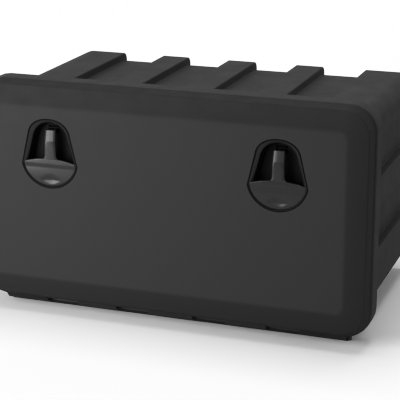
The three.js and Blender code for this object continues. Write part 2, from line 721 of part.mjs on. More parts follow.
function doorSeal() {
  const { halfWidth, bottom, top } = sealTrack();
  const front = DOOR_REAR_Y - SEAL_GROOVE_DEPTH + FIT;
  const shoulder = DOOR_REAR_Y;
  const crown = front + SEAL_DEPTH;
  const narrow = (SEAL_WIDTH * (1 - SEAL_BULB_SHARE)) / 2;
  const edgeLoop = (inset) =>
    roundedLoop(halfWidth - inset, bottom + inset, top - inset, SEAL_RADIUS - inset);
  const outer = loft([
    { loop: edgeLoop(FIT), y: front },
    { loop: edgeLoop(FIT), y: shoulder },
    { loop: edgeLoop(FIT + narrow), y: crown },
  ]);
  const inner = FIT + SEAL_WIDTH;
  return outer.subtract(
    loft([
      { loop: edgeLoop(inner), y: front - OVERRUN },
      { loop: edgeLoop(inner), y: shoulder },
      { loop: edgeLoop(inner - narrow), y: crown },
      { loop: edgeLoop(inner - narrow), y: crown + OVERRUN },
    ]),
  );
}

// A pan-head screw along Y, its head at the back; y is the underside of its head.
function screwY(x, y, z, length) {
  const shank = barY(SCREW_RADIUS, x, y - length, y + SINK, z, SCREW_SIDES);
  const head = loft(
    [
      [SCREW_HEAD_RADIUS, 0],
      [SCREW_HEAD_RADIUS, SCREW_HEAD_HEIGHT / 2],
      [SCREW_HEAD_RADIUS / 2, SCREW_HEAD_HEIGHT],
    ].map(([radius, rise]) => ({ loop: circleLoop(x, z, radius), y: y + rise })),
  );
  return shank.add(head);
}

function circleLoop(x, z, radius, sides = SCREW_SIDES) {
  return Array.from({ length: sides }, (_, i) => {
    const angle = (i / sides) * 2 * Math.PI;
    return [x + radius * Math.cos(angle), z + radius * Math.sin(angle)];
  });
}

// Hinge rod and the push-on caps that keep it in

function hingeRod() {
  return barX(ROD_RADIUS, 2 * (HINGE_HALF_LENGTH - CAP_WALL - FIT), 0, HINGE_Y, HINGE_Z);
}

function hingeRodCap(sign) {
  const middle = sign * (HINGE_HALF_LENGTH - CAP_LENGTH / 2);
  const bore = sign * (HINGE_HALF_LENGTH - CAP_WALL - CAP_LENGTH / 2);
  return barX(CAP_RADIUS, CAP_LENGTH, middle, HINGE_Y, HINGE_Z).subtract(
    barX(ROD_HOLE_RADIUS, CAP_LENGTH, bore, HINGE_Y, HINGE_Z),
  );
}

// Latch cup

// Radius of the cup's round bottom, through its lowest point and both shoulders.
function bowlRadius(half, sag) {
  return (half * half + sag * sag) / (2 * sag);
}

// The cup's outline about one latch's middle: straight sides that flare down to a shoulder, a
// round bottom and a low crown. A positive inset lies inside the hole in the skin.
function cupLoop(sign, inset) {
  const half = CUP_HALF_WIDTH - inset;
  const crownHalf = CUP_CROWN_HALF_WIDTH - inset;
  const bottomZ = CUP_BOTTOM + inset;
  const topZ = CUP_BOTTOM + CUP_HEIGHT - inset;
  const shoulderZ = CUP_BOTTOM + CUP_SHOULDER;
  const crownZ = topZ - CUP_CROWN_DROP;
  const corner = CUP_CORNER_RADIUS;
  const lean = (half - crownHalf) / (crownZ - shoulderZ);
  const bowl = bowlRadius(half, shoulderZ - bottomZ);
  const bowlEnd = Math.asin((shoulderZ - bottomZ - bowl) / bowl);
  const shape = new THREE.Shape();
  shape.moveTo(0, bottomZ);
  shape.absarc(0, bottomZ + bowl, bowl, -Math.PI / 2, bowlEnd, false);
  shape.lineTo(crownHalf + lean * corner, crownZ - corner);
  shape.bezierCurveTo(crownHalf, topZ - CUP_CROWN_DROP / 2, crownHalf / 2, topZ, 0, topZ);
  const rightSide = shape.getPoints(CUP_STEPS).map(({ x, y }) => [x, y]);
  const leftSide = rightSide
    .slice(1, -1)
    .reverse()
    .map(([x, z]) => [-x, z]);
  return [...rightSide, ...leftSide].map(([x, z]) => [sign * LATCH_X + x, z]);
}

// Places (x, z) of the screws that hold a cup from behind, two by its bowl and two by its sides.
function cupScrewPlaces(sign) {
  const reach = CUP_FLANGE_WIDTH / 2;
  const bowl = bowlRadius(CUP_HALF_WIDTH, CUP_SHOULDER);
  const lowX = (bowl + reach) * Math.cos(CUP_SCREW_ANGLE);
  const lowZ = CUP_BOTTOM + bowl + (bowl + reach) * Math.sin(CUP_SCREW_ANGLE);
  const rise = CUP_HEIGHT - CUP_CROWN_DROP - CUP_SHOULDER;
  const taper = CUP_HALF_WIDTH - CUP_CROWN_HALF_WIDTH;
  const highX = CUP_HALF_WIDTH - CUP_SCREW_SIDE_SHARE * taper + reach;
  const highZ = CUP_BOTTOM + CUP_SHOULDER + CUP_SCREW_SIDE_SHARE * rise;
  const x = sign * LATCH_X;
  return [
    ["inner_low", x - sign * lowX, lowZ],
    ["outer_low", x + sign * lowX, lowZ],
    ["inner_high", x - sign * highX, highZ],
    ["outer_high", x + sign * highX, highZ],
  ];
}

function latchCup(sign) {
  const rim = CUP_GAP + CUP_RIM;
  const waist = rim + CUP_CHAMFER;
  const flangeBack = CUP_FLANGE_Y + CUP_FLANGE_THICKNESS;
  const ring = (inset, y) => ({ loop: cupLoop(sign, inset), y });
  const collar = loft([ring(CUP_GAP, FACE_Y + FIT), ring(CUP_GAP, flangeBack)]);
  const flange = loft([ring(-CUP_FLANGE_WIDTH, CUP_FLANGE_Y), ring(-CUP_FLANGE_WIDTH, flangeBack)]);
  const outer = loft([ring(waist - CUP_WALL, flangeBack - SINK), ring(waist, CUP_BACK_Y)]);
  const cavity = loft([
    ring(rim - OVERRUN, FACE_Y - OVERRUN),
    ring(waist, FACE_Y + CUP_CHAMFER),
    ring(waist + CUP_DRAFT, CUP_FLOOR_Y),
  ]);
  const x = sign * LATCH_X;
  const ears = SIDES.map(({ sign: way }) => {
    const from = x + way * EAR_INSIDE;
    const to = from + way * EAR_THICKNESS;
    const [x0, x1] = [Math.min(from, to), Math.max(from, to)];
    const foot = box(x0, x1, CUP_BACK_Y - SINK, PIVOT_Y, PIVOT_Z - EAR_RADIUS, PIVOT_Z + EAR_RADIUS);
    return foot.add(barX(EAR_RADIUS, EAR_THICKNESS, (x0 + x1) / 2, PIVOT_Y, PIVOT_Z));
  });
  const slotHalf = STEM_WIDTH / 2 + STEM_SIDE_GAP;
  const slot = box(
    x - slotHalf,
    x + slotHalf,
    CUP_FLOOR_Y - OVERRUN,
    CUP_BACK_Y + OVERRUN / 2,
    ARM_BOTTOM - STEM_SIDE_GAP,
    PIVOT_Z + HUB_RADIUS + STEM_SIDE_GAP,
  );
  const screwHoles = cupScrewPlaces(sign).map(([, sx, sz]) =>
    barY(SCREW_RADIUS + FIT, sx, CUP_FLANGE_Y - OVERRUN, flangeBack + OVERRUN, sz, SCREW_SIDES),
  );
  return joined([collar, flange, outer, ...ears])
    .subtract(cavity)
    .subtract(slot)
    .subtract(barX(PIN_RADIUS + FIT, 4 * EAR_INSIDE, x, PIVOT_Y, PIVOT_Z))
    .subtract(joined(screwHoles));
}

// Pull handle: a pad that fills the cup's bowl, on a stem whose top leans back and runs to the hub

function latchHandle(sign) {
  const x = sign * LATCH_X;
  const across = STEM_WIDTH / 2;
  const [front, back] = [FACE_Y + STEM_RECESS, FACE_Y + STEM_RECESS + STEM_THICKNESS];
  const head = profileX(
    [
      [front + STEM_LEAN, STEM_TOP],
      [front, BEND_HEIGHT],
      [front, BEND_HEIGHT - STEM_THICKNESS],
      [back, BEND_HEIGHT - STEM_THICKNESS],
      [back, ARM_BOTTOM - ARM_CORNER],
      [back + ARM_CORNER, ARM_BOTTOM],
      [PIVOT_Y, ARM_BOTTOM],
      [PIVOT_Y, STEM_TOP],
    ],
    x - across,
    x + across,
  );
  const foot = across + STEM_FOOT_SPREAD / 2;
  const footZ = PAD_TOP - PAD_ARCH;
  const stemLoop = [
    [x - foot, footZ],
    [x + foot, footZ],
    [x + across, BEND_HEIGHT - SINK],
    [x - across, BEND_HEIGHT - SINK],
  ];
  const stem = loft([
    { loop: stemLoop, y: front },
    { loop: stemLoop, y: back },
  ]);
  const hub = barX(HUB_RADIUS, STEM_WIDTH, x, PIVOT_Y, PIVOT_Z);
  const tang = box(
    x - across,
    x + across,
    PIVOT_Y,
    PIVOT_Y + TANG_LENGTH,
    PIVOT_Z - HUB_RADIUS,
    PIVOT_Z + HUB_RADIUS,
  );
  const screwHoles = hookScrewPlaces(sign).map(([, sx, sy]) =>
    barZ(
      HOOK_SCREW_RADIUS + FIT,
      sx,
      sy,
      HOOK_PLATE_TOP - HOOK_SCREW_LENGTH - FIT,
      HOOK_PLATE_TOP + OVERRUN,
      SCREW_SIDES,
    ),
  );
  return joined([handlePad(sign), stem, head, hub, tang])
    .subtract(barX(PIN_RADIUS + FIT, 2 * STEM_WIDTH, x, PIVOT_Y, PIVOT_Z))
    .subtract(joined(screwHoles));
}

// The half-moon pad, with an arched upper edge and a shallow dish near its bottom.
function handlePad(sign) {
  const x = sign * LATCH_X;
  const front = FACE_Y + PAD_RECESS;
  const edge = (y) => CUP_GAP + CUP_RIM + PAD_GAP + Math.min(y - FACE_Y, CUP_CHAMFER);
  const ring = (y) => ({ loop: cupLoop(sign, edge(y)), y });
  const blank = loft([ring(front), ring(FACE_Y + CUP_CHAMFER), ring(front + PAD_THICKNESS)]);
  const arch = Array.from({ length: CUP_STEPS + 1 }, (_, i) => {
    const share = 1 - (2 * i) / CUP_STEPS;
    return [x + share * CUP_HALF_WIDTH, PAD_TOP - PAD_ARCH * share * share];
  });
  const floor = CUP_BOTTOM - OVERRUN;
  const below = [[x - CUP_HALF_WIDTH, floor], [x + CUP_HALF_WIDTH, floor], ...arch];
  const lower = loft([
    { loop: below, y: front - OVERRUN },
    { loop: below, y: front + PAD_THICKNESS + OVERRUN },
  ]);
  const spread = 1 / Math.sqrt(1 - (1 - DISH_DEPTH / DISH_BALL_DEPTH) ** 2);
  const ball = new THREE.SphereGeometry(1, ROUND_SIDES, ROUND_SIDES / 2);
  ball.scale(DISH_HALF_WIDTH * spread, DISH_BALL_DEPTH, DISH_HALF_HEIGHT * spread);
  ball.translate(x, front + DISH_DEPTH - DISH_BALL_DEPTH, CUP_BOTTOM + DISH_HEIGHT);
  return blank.intersect(lower).subtract(solidFrom(ball));
}

// Hook: a cast plate on the handle's tang, with a ramped nose that goes up behind the keeper's lip

function hookScrewPlaces(sign) {
  const y = PIVOT_Y + HOOK_SCREW_BACK;
  return [
    ["inner", sign * (LATCH_X - HOOK_SCREW_X), y],
    ["outer", sign * (LATCH_X + HOOK_SCREW_X), y],
  ];
}

function latchHook(sign) {
  const x = sign * LATCH_X;
  const front = PIVOT_Y - HOOK_FRONT_REACH;
  const catchY = KEEPER_LIP_Y + KEEPER_PLATE + HOOK_BEHIND_LIP;
  const noseBack = catchY + HOOK_NOSE_TIP;
  const plate = profileX(
    [
      [front, HOOK_PLATE_BOTTOM],
      [noseBack + HOOK_RAMP, HOOK_PLATE_BOTTOM],
      [noseBack + HOOK_RAMP, HOOK_PLATE_TOP],
      [noseBack, HOOK_TOP],
      [catchY, HOOK_TOP],
      [catchY, HOOK_PLATE_TOP],
      [front, HOOK_PLATE_TOP],
    ],
    x - HOOK_WIDTH / 2,
    x + HOOK_WIDTH / 2,
  );
  const holes = hookScrewPlaces(sign).map(([, sx, sy]) =>
    barZ(HOOK_SCREW_RADIUS + FIT, sx, sy, HOOK_PLATE_BOTTOM - OVERRUN, HOOK_PLATE_TOP + OVERRUN, SCREW_SIDES),
  );
  return plate.subtract(joined(holes));
}

// A screw along Z whose head sits on top of what it holds, or under it when way is -1.
function screwZ(x, y, z, way, { radius, headRadius, headHeight, length }) {
  const bar = (r, from, to) => barZ(r, x, y, Math.min(from, to), Math.max(from, to), SCREW_SIDES);
  return bar(radius, z - way * length, z + way * headHeight).add(bar(headRadius, z, z + way * headHeight));
}

// Keeper: an angle screwed under the body's ceiling, whose lip the hook goes up behind

function keeperScrewPlaces(sign) {
  const y = KEEPER_LIP_Y + KEEPER_PLATE + KEEPER_LENGTH / 2;
  return [
    ["inner", sign * (LATCH_X - KEEPER_SCREW_X), y],
    ["outer", sign * (LATCH_X + KEEPER_SCREW_X), y],
  ].map(([name, x]) => [x, y, name]);
}

function latchKeeper(sign) {
  const x = sign * LATCH_X;
  const top = CEILING - FIT;
  const angle = profileX(
    [
      [KEEPER_LIP_Y, KEEPER_LIP_BOTTOM],
      [KEEPER_LIP_Y + KEEPER_PLATE, KEEPER_LIP_BOTTOM],
      [KEEPER_LIP_Y + KEEPER_PLATE, top - KEEPER_PLATE],
      [KEEPER_LIP_Y + KEEPER_LENGTH, top - KEEPER_PLATE],
      [KEEPER_LIP_Y + KEEPER_LENGTH, top],
      [KEEPER_LIP_Y, top],
    ],
    x - KEEPER_WIDTH / 2,
    x + KEEPER_WIDTH / 2,
  );
  const holes = keeperScrewPlaces(sign).map(([sx, sy]) =>
    barZ(SCREW_RADIUS + FIT, sx, sy, top - KEEPER_PLATE - OVERRUN, top + OVERRUN, SCREW_SIDES),
  );
  return angle.subtract(joined(holes));
}

// Pivot pin and return spring

function latchPin(sign) {
  const x = sign * LATCH_X;
  const reach = EAR_INSIDE + EAR_THICKNESS + FIT;
  const headX = x + sign * (reach + PIN_HEAD_LENGTH / 2);
  return barX(PIN_RADIUS, 2 * reach, x, PIVOT_Y, PIVOT_Z).add(
    barX(PIN_HEAD_RADIUS, PIN_HEAD_LENGTH, headX, PIVOT_Y, PIVOT_Z),
  );
}

// The middle line of the spring's wire: a leg up the cup's back, the coil, and a leg to the back.
class SpringLine extends THREE.Curve {
  constructor(sign) {
    super();
    this.sign = sign;
    this.coil = 2 * Math.PI * SPRING_COIL_RADIUS * SPRING_TURNS;
    this.whole = SPRING_LOW_LEG + this.coil + SPRING_BACK_LEG;
  }

  getPoint(share, target = new THREE.Vector3()) {
    const along = share * this.whole;
    const start = STEM_WIDTH / 2 + 2 * SPRING_WIRE_RADIUS;
    const turned = THREE.MathUtils.clamp((along - SPRING_LOW_LEG) / this.coil, 0, 1);
    const angle = Math.PI - turned * SPRING_TURNS * 2 * Math.PI;
    const x = this.sign * (LATCH_X + start + turned * SPRING_TURNS * SPRING_PITCH);
    const low = Math.max(SPRING_LOW_LEG - along, 0);
    const back = Math.max(along - SPRING_LOW_LEG - this.coil, 0);
    return target.set(
      x,
      PIVOT_Y + SPRING_COIL_RADIUS * Math.cos(angle) + back,
      PIVOT_Z + SPRING_COIL_RADIUS * Math.sin(angle) - low,
    );
  }
}

function latchSpring(sign) {
  const section = new THREE.Shape(
    circleLoop(0, 0, SPRING_WIRE_RADIUS, SPRING_SIDES).map(([x, y]) => new THREE.Vector2(x, y)),
  );
  const line = new SpringLine(sign);
  const geometry = new THREE.ExtrudeGeometry(section, {
    steps: Math.ceil(SPRING_TURNS * SPRING_STEPS_PER_TURN * (line.whole / line.coil)),
    extrudePath: line,
  });
  return solidFrom(geometry);
}

// Assembly

const toolBox = new THREE.Group();
const bodyGroup = new THREE.Group();
const doorGroup = new THREE.Group();
toolBox.add(bodyGroup, doorGroup);

bodyGroup.add(meshFrom(bodyShell(), "body_shell", bodyPlastic));
bodyGroup.add(meshFrom(hingeRod(), "hinge_rod", stainlessSteel));
doorGroup.add(meshFrom(doorOuterPanel(), "door_outer_panel", doorPlastic));
doorGroup.add(meshFrom(doorInnerPanel(), "door_inner_panel", bodyPlastic));
doorGroup.add(meshFrom(doorSeal(), "door_seal", sealRubber));

panelScrewPlaces().forEach(([name, x, z]) => {
  const screw = screwY(x, DOOR_REAR_Y + FIT, z, PANEL_SCREW_LENGTH);
  doorGroup.add(meshFrom(screw, `panel_screw_${name}`, stainlessSteel));
});

const keeperScrew = {
  radius: SCREW_RADIUS,
  headRadius: SCREW_HEAD_RADIUS,
  headHeight: SCREW_HEAD_HEIGHT,
  length: KEEPER_SCREW_LENGTH,
};
const hookScrew = {
  radius: HOOK_SCREW_RADIUS,
  headRadius: HOOK_SCREW_HEAD_RADIUS,
  headHeight: HOOK_SCREW_HEAD_HEIGHT,
  length: HOOK_SCREW_LENGTH,
};

SIDES.forEach(({ side, sign }) => {
  bodyGroup.add(meshFrom(hingeRodCap(sign), `hinge_rod_cap_${side}`, handlePlastic));
  bodyGroup.add(meshFrom(latchKeeper(sign), `keeper_${side}`, zincSteel));
  keeperScrewPlaces(sign).forEach(([x, y, place]) => {
    const screw = screwZ(x, y, CEILING - 2 * FIT - KEEPER_PLATE, -1, keeperScrew);
    bodyGroup.add(meshFrom(screw, `keeper_screw_${side}_${place}`, stainlessSteel));
  });
  doorGroup.add(meshFrom(latchCup(sign), `latch_cup_${side}`, latchPlastic));
  doorGroup.add(meshFrom(latchPin(sign), `latch_pin_${side}`, stainlessSteel));
  doorGroup.add(meshFrom(latchSpring(sign), `latch_spring_${side}`, stainlessSteel));
  cupScrewPlaces(sign).forEach(([place, x, z]) => {
    const screw = screwY(x, CUP_FLANGE_Y + CUP_FLANGE_THICKNESS + FIT, z, CUP_SCREW_LENGTH);
    doorGroup.add(meshFrom(screw, `cup_screw_${side}_${place}`, stainlessSteel));
  });
  const latchGroup = new THREE.Group();
  latchGroup.add(meshFrom(latchHandle(sign), `latch_handle_${side}`, handlePlastic));
  latchGroup.add(meshFrom(latchHook(sign), `latch_hook_${side}`, zincSteel));
  hookScrewPlaces(sign).forEach(([place, x, y]) => {
    const screw = screwZ(x, y, HOOK_PLATE_TOP + FIT, 1, hookScrew);
    latchGroup.add(meshFrom(screw, `hook_screw_${side}_${place}`, stainlessSteel));
  });
  doorGroup.add(latchGroup);
});

export default toolBox;
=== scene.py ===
import math

import bmesh
import bpy
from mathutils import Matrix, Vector


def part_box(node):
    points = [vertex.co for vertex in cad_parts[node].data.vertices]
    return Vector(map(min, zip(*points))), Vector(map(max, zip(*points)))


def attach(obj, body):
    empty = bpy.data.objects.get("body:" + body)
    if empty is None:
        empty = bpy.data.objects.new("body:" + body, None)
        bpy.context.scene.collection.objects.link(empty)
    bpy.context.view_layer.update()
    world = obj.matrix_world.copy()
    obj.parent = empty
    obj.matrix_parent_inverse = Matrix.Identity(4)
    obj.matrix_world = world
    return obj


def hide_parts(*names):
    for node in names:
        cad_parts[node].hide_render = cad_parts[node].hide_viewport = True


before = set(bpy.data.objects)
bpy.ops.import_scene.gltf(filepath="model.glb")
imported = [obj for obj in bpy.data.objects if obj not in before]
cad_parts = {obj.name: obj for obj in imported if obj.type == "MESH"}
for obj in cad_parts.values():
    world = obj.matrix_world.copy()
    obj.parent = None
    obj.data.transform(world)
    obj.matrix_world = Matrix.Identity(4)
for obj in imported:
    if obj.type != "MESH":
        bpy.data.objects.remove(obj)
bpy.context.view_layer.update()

# The camera stands to the right of the box, above it and nearly three metres away, and looks down at
# the door with a long lens, so that the door, the top and a strip of the right side show.
camera = bpy.data.objects.new("camera", bpy.data.cameras.new("camera"))
camera.data.lens = 131.9
camera.data.sensor_width = 36
camera.location = (0.9611, -2.7064, 1.0812)
dip, roll, turn = 17.21, 0.15, 19.71
camera.rotation_euler = (math.radians(90 - dip), math.radians(roll), math.radians(turn))
bpy.context.scene.collection.objects.link(camera)
bpy.context.scene.camera = camera
bpy.context.scene.view_settings.view_transform = "Standard"


# The studio is a white sweep of paper. The floor only takes the box's shadow and throws light back
# up at it, and what lies beyond the floor is plain white, in the gloss of metal too.
def linear(code):
    """The sRGB hex colour as a linear one."""
    channels = [int(code[i : i + 2], 16) / 255 for i in (1, 3, 5)]
    low = [c / 12.92 for c in channels]
    high = [((c + 0.055) / 1.055) ** 2.4 for c in channels]
    return [a if c <= 0.04045 else b for a, b, c in zip(low, high, channels)] + [1]


def add(tree, kind, links=None, **values):
    """A node with its settings, its sockets' values and the sockets that feed it."""
    node = tree.nodes.new(kind)
    for name, value in values.items():
        if hasattr(node, name):
            setattr(node, name, value)
        else:
            node.inputs[name.replace("_", " ")].default_value = value
    for name, source in (links or {}).items():
        tree.links.new(source, node.inputs[name])
    return node


world = bpy.data.worlds.new("studio")
bpy.context.scene.world = world
world.use_nodes = True
sky = world.node_tree
sky.nodes.clear()
path = add(sky, "ShaderNodeLightPath")
seen = path.outputs["Is Camera Ray"]
for ray in ("Is Glossy Ray", "Is Transmission Ray"):
    seen = add(sky, "ShaderNodeMath", {0: seen, 1: path.outputs[ray]}, operation="MAXIMUM").outputs[0]
shown = add(sky, "ShaderNodeBackground", Color=linear("#ffffff"), Strength=1)
lit = add(sky, "ShaderNodeBackground", Color=linear("#ffffff"), Strength=0.1)
both = add(sky, "ShaderNodeMixShader", {0: seen, 1: lit.outputs[0], 2: shown.outputs[0]})
add(sky, "ShaderNodeOutputWorld", {"Surface": both.outputs[0]})

floor_reach, hinge_line = 16, -0.179
paper = bpy.data.materials.new("matt_white_paper")
paper.use_nodes = True
paper_shader = paper.node_tree.nodes["Principled BSDF"]
paper_shader.inputs["Base Color"].default_value = linear("#f2f2f2")
paper_shader.inputs["Roughness"].default_value = 0.9
sheets = (("floor", hinge_line, floor_reach), ("floor_in_front", -floor_reach, hinge_line))
floors = []
for name, near, far in sheets:
    outline = ((-floor_reach, near), (floor_reach, near), (floor_reach, far), (-floor_reach, far))
    floor_mesh = bpy.data.meshes.new(name)
    floor_mesh.from_pydata([(x, y, 0) for x, y in outline], [], [(0, 1, 2, 3)])
    floor_mesh.materials.append(paper)
    floors.append(bpy.data.objects.new(name, floor_mesh))
    bpy.context.scene.collection.objects.link(floors[-1])
    floors[-1].is_shadow_catcher = True
    floors[-1].visible_shadow = False
# An opened door lies lower than the runners that the box stands on, so the paper in front of the
# hinge goes down with it, as over a table's edge, and doesn't hide it.
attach(floors[1], "door")

# Two softboxes stand in front at the left and one at the right, and a large one hangs overhead.
lamps = [
    ("softbox_key", (-0.85, -1.6, 0.85), (-0.1, -0.2, 0.3), 0.9, 17.8),
    ("softbox_low", (-1.1, -1.5, 0.28), (-0.2, -0.2, 0.25), 0.5, 7.6),
    ("softbox_right", (2.4, -1.0, 1.4), (0, 0, 0.3), 1.4, 6.7),
    ("softbox_overhead", (0.15, 0.0, 3.0), (0, 0, 0.2), 1.5, 27.0),
]
for name, place, target, width, power in lamps:
    lamp = bpy.data.lights.new(name, "AREA")
    lamp.size = width
    lamp.energy = power
    holder = bpy.data.objects.new(name, lamp)
    holder.location = place
    holder.rotation_euler = (Vector(target) - Vector(place)).to_track_quat("-Z", "Y").to_euler()
    bpy.context.scene.collection.objects.link(holder)

# The body is one rotationally moulded shell of black polyethylene. The mould leaves a fine, even
# grain, soft edges, and a faint waviness where the thick wall shrank as it cooled. Its hinge
# knuckles are machined smooth and glossier, and painted near-black as painted shade for the shadow
# under the door.
mm = 0.001


def moulded_plastic(name, colour, roughness, grain, grain_height, wave_height, scuff=0.06, gloss=0.15):
    """A moulded plastic: grain of the given width and height, slow waves and uneven gloss."""
    waves_per_metre, patches_per_metre = 9.0, 26.0
    material = bpy.data.materials.new(name)
    material.use_nodes = True
    tree = material.node_tree
    shader = tree.nodes["Principled BSDF"]
    place = {"Vector": add(tree, "ShaderNodeTexCoord").outputs["Object"]}
    fine = add(tree, "ShaderNodeTexNoise", place, Scale=1 / grain, Detail=3.0, Roughness=0.6)
    slow = add(tree, "ShaderNodeTexNoise", place, Scale=waves_per_metre, Detail=1.5)
    patches = add(tree, "ShaderNodeTexNoise", place, Scale=patches_per_metre, Detail=5.0, Roughness=0.65)
    uneven = add(
        tree,
        "ShaderNodeMapRange",
        {"Value": patches.outputs["Fac"]},
        From_Min=0.3,
        From_Max=0.7,
        To_Min=roughness - scuff,
        To_Max=roughness + scuff,
    )
    tint = add(tree, "ShaderNodeMix", {0: patches.outputs["Fac"]}, data_type="RGBA")
    deep = linear(colour)
    tint.inputs[6].default_value = [0.9 * c for c in deep[:3]] + [1]
    tint.inputs[7].default_value = [1.1 * c for c in deep[:3]] + [1]
    waves = add(
        tree,
        "ShaderNodeBump",
        {"Height": slow.outputs["Fac"]},
        Strength=1.0,
        Distance=wave_height,
    )
    bumps = add(
        tree,
        "ShaderNodeBump",
        {"Height": fine.outputs["Fac"], "Normal": waves.outputs["Normal"]},
        Strength=1.0,
        Distance=grain_height,
    )
    tree.links.new(tint.outputs[2], shader.inputs["Base Color"])
    tree.links.new(uneven.outputs["Result"], shader.inputs["Roughness"])
    tree.links.new(bumps.outputs["Normal"], shader.inputs["Normal"])
    shader.inputs["Specular IOR Level"].default_value = gloss
    return material


def piece_from(form, name, materials, node, body):
    """The finished piece of one node: its mesh, its materials, and what it rides on and replaces."""
    mesh = bpy.data.meshes.new(name)
    form.to_mesh(mesh)
    form.free()
    for material in materials:
        mesh.materials.append(material)
    piece = bpy.data.objects.new(name, mesh)
    bpy.context.scene.collection.objects.link(piece)
    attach(piece, body)
    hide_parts(node)
    return piece


def softened(node, name, material, body, radius, share=None, mark=None, second=None):
    """The node's surface with its edges rounded, each by its share of the radius.

    mark tells whether a face is of the second material."""
    weld, flat, sharp = 0.001 * mm, math.radians(0.6), math.radians(32)
    form = bmesh.new()
    form.from_mesh(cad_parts[node].data)
    bmesh.ops.remove_doubles(form, verts=form.verts, dist=weld)
    bmesh.ops.dissolve_limit(form, angle_limit=flat, verts=form.verts, edges=form.edges)
    form.normal_update()
    weight = form.edges.layers.float.new("bevel_weight_edge")
    for face in form.faces:
        face.smooth = True
        face.material_index = 1 if mark and mark(face) else 0
    for edge in form.edges:
        if len(edge.link_faces) == 2:
            one, two = edge.link_faces
            if edge.calc_face_angle() > sharp or one.material_index != two.material_index:
                edge[weight] = share((edge.verts[0].co + edge.verts[1].co) / 2) if share else 1
    piece = piece_from(form, name, [material] + ([second] if second else []), node, body)
    rounding = piece.modifiers.new("rounding", "BEVEL")
    rounding.width = radius
    rounding.segments = 3
    rounding.limit_method = "WEIGHT"
    shading = piece.modifiers.new("shading", "WEIGHTED_NORMAL")
    shading.keep_sharp = True
    return piece


body_polyethylene = moulded_plastic(
    "rotomoulded_black_polyethylene",
    "#2f2f30",
    0.74,
    grain=1.8 * mm,
    grain_height=0.1 * mm,
    wave_height=1.2 * mm,
)
# The knuckles' near-black colour is painted shade for the shadow under the door. Their smoothness and gloss
# are their own.
knuckle_shade_polyethylene = moulded_plastic(
    "machined_polyethylene_painted_shade", "#0e0e0f", 0.4, 4 * mm, 0.03 * mm, 0.1 * mm, scuff=0.05, gloss=0.4
)
flange_y, flange_side, flange_ceiling = -200 * mm, 380 * mm, 440 * mm
hinge_rear, hinge_top, underside_top = -158 * mm, 16.6 * mm, 34 * mm
widest_round, mould_share, underside_share = 8 * mm, 0.3, 0.05


def flange_share(place):
    """The flange's front edge is rounded over furthest, and the runners' and knuckles' edges least."""
    at_front = abs(place.y - flange_y) < 0.5 * mm
    outside = abs(place.x) > flange_side or place.z > flange_ceiling
    if place.z < underside_top and not at_front:
        return underside_share
    return 1 if at_front and outside else mould_share


def on_knuckle(face):
    """Whether the face of the body belongs to one of its hinge knuckles."""
    place = face.calc_center_median()
    return place.y < hinge_rear and place.z < hinge_top


body_moulding = softened(
    "body_shell",
    "body_moulding",
    body_polyethylene,
    "body",
    widest_round,
    share=flange_share,
    mark=on_knuckle,
    second=knuckle_shade_polyethylene,
)
# Short edges at the corners would hold back the rounding of all the others, so they don't limit it.
body_moulding.modifiers["rounding"].use_clamp_overlap = False

# The door's outer shell is injection moulded: a flat face with a fine grain, and round it a broad band
# that falls back ever more steeply to the parting line. The band is painted darker than the face, as painted
# shade for its dimmer reflection.
door_low, door_high = (Vector(corner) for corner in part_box("door_outer_panel"))
face_y = door_low.y
band_width, face_radius, door_radius = 42 * mm, 12 * mm, 50 * mm
band_slope, band_bend, band_end = 0.04, 0.21, 40.4 * mm
edge_round, skin_wall, rim_depth, rim_flat = 2 * mm, 3.5 * mm, 8 * mm, 0.36 * mm
spigot_inset, spigot_wall, spigot_depth = 5.6 * mm, 3 * mm, 10 * mm
# Distances over which the band's painted shade fades in, measured out from the face's flat middle.
band_shade_from, band_shade_to = face_radius - 3 * mm, face_radius + 8 * mm


def moulded_skin(name, face_colour, band_shade_colour):
    """The face's plastic, painted darker over the first millimetres of the band round it as painted shade.
    """
    material = moulded_plastic(name, face_colour, 0.66, 1.4 * mm, 0.05 * mm, 0.8 * mm)
    tree = material.node_tree
    shader = tree.nodes["Principled BSDF"]
    tint = shader.inputs["Base Color"].links[0].from_node
    place = add(tree, "ShaderNodeSeparateXYZ", {0: add(tree, "ShaderNodeTexCoord").outputs["Object"]})
    middle = (door_low + door_high) / 2
    half = (door_high - door_low) / 2
    squares = []
    for axis, centre, reach in (("X", middle.x, half.x), ("Z", middle.z, half.z)):
        offset = add(tree, "ShaderNodeMath", {0: place.outputs[axis]}, operation="SUBTRACT")
        offset.inputs[1].default_value = centre
        away = add(tree, "ShaderNodeMath", {0: offset.outputs[0]}, operation="ABSOLUTE")
        past = add(tree, "ShaderNodeMath", {0: away.outputs[0]}, operation="SUBTRACT")
        past.inputs[1].default_value = reach - band_width - face_radius
        beyond = add(tree, "ShaderNodeMath", {0: past.outputs[0]}, operation="MAXIMUM")
        beyond.inputs[1].default_value = 0
        twice = {0: beyond.outputs[0], 1: beyond.outputs[0]}
        squares.append(add(tree, "ShaderNodeMath", twice, operation="MULTIPLY").outputs[0])
    total = add(tree, "ShaderNodeMath", {0: squares[0], 1: squares[1]}, operation="ADD")
    radius = add(tree, "ShaderNodeMath", {0: total.outputs[0]}, operation="SQRT")
    onto_band_shade = add(
        tree,
        "ShaderNodeMapRange",
        {"Value": radius.outputs[0]},
        interpolation_type="SMOOTHSTEP",
        From_Min=band_shade_from,
        From_Max=band_shade_to,
    )
    skin = add(tree, "ShaderNodeMix", {0: onto_band_shade.outputs[0], 6: tint.outputs[2]}, data_type="RGBA")
    skin.inputs[7].default_value = linear(band_shade_colour)
    tree.links.new(skin.outputs[2], shader.inputs["Base Color"])
    return material


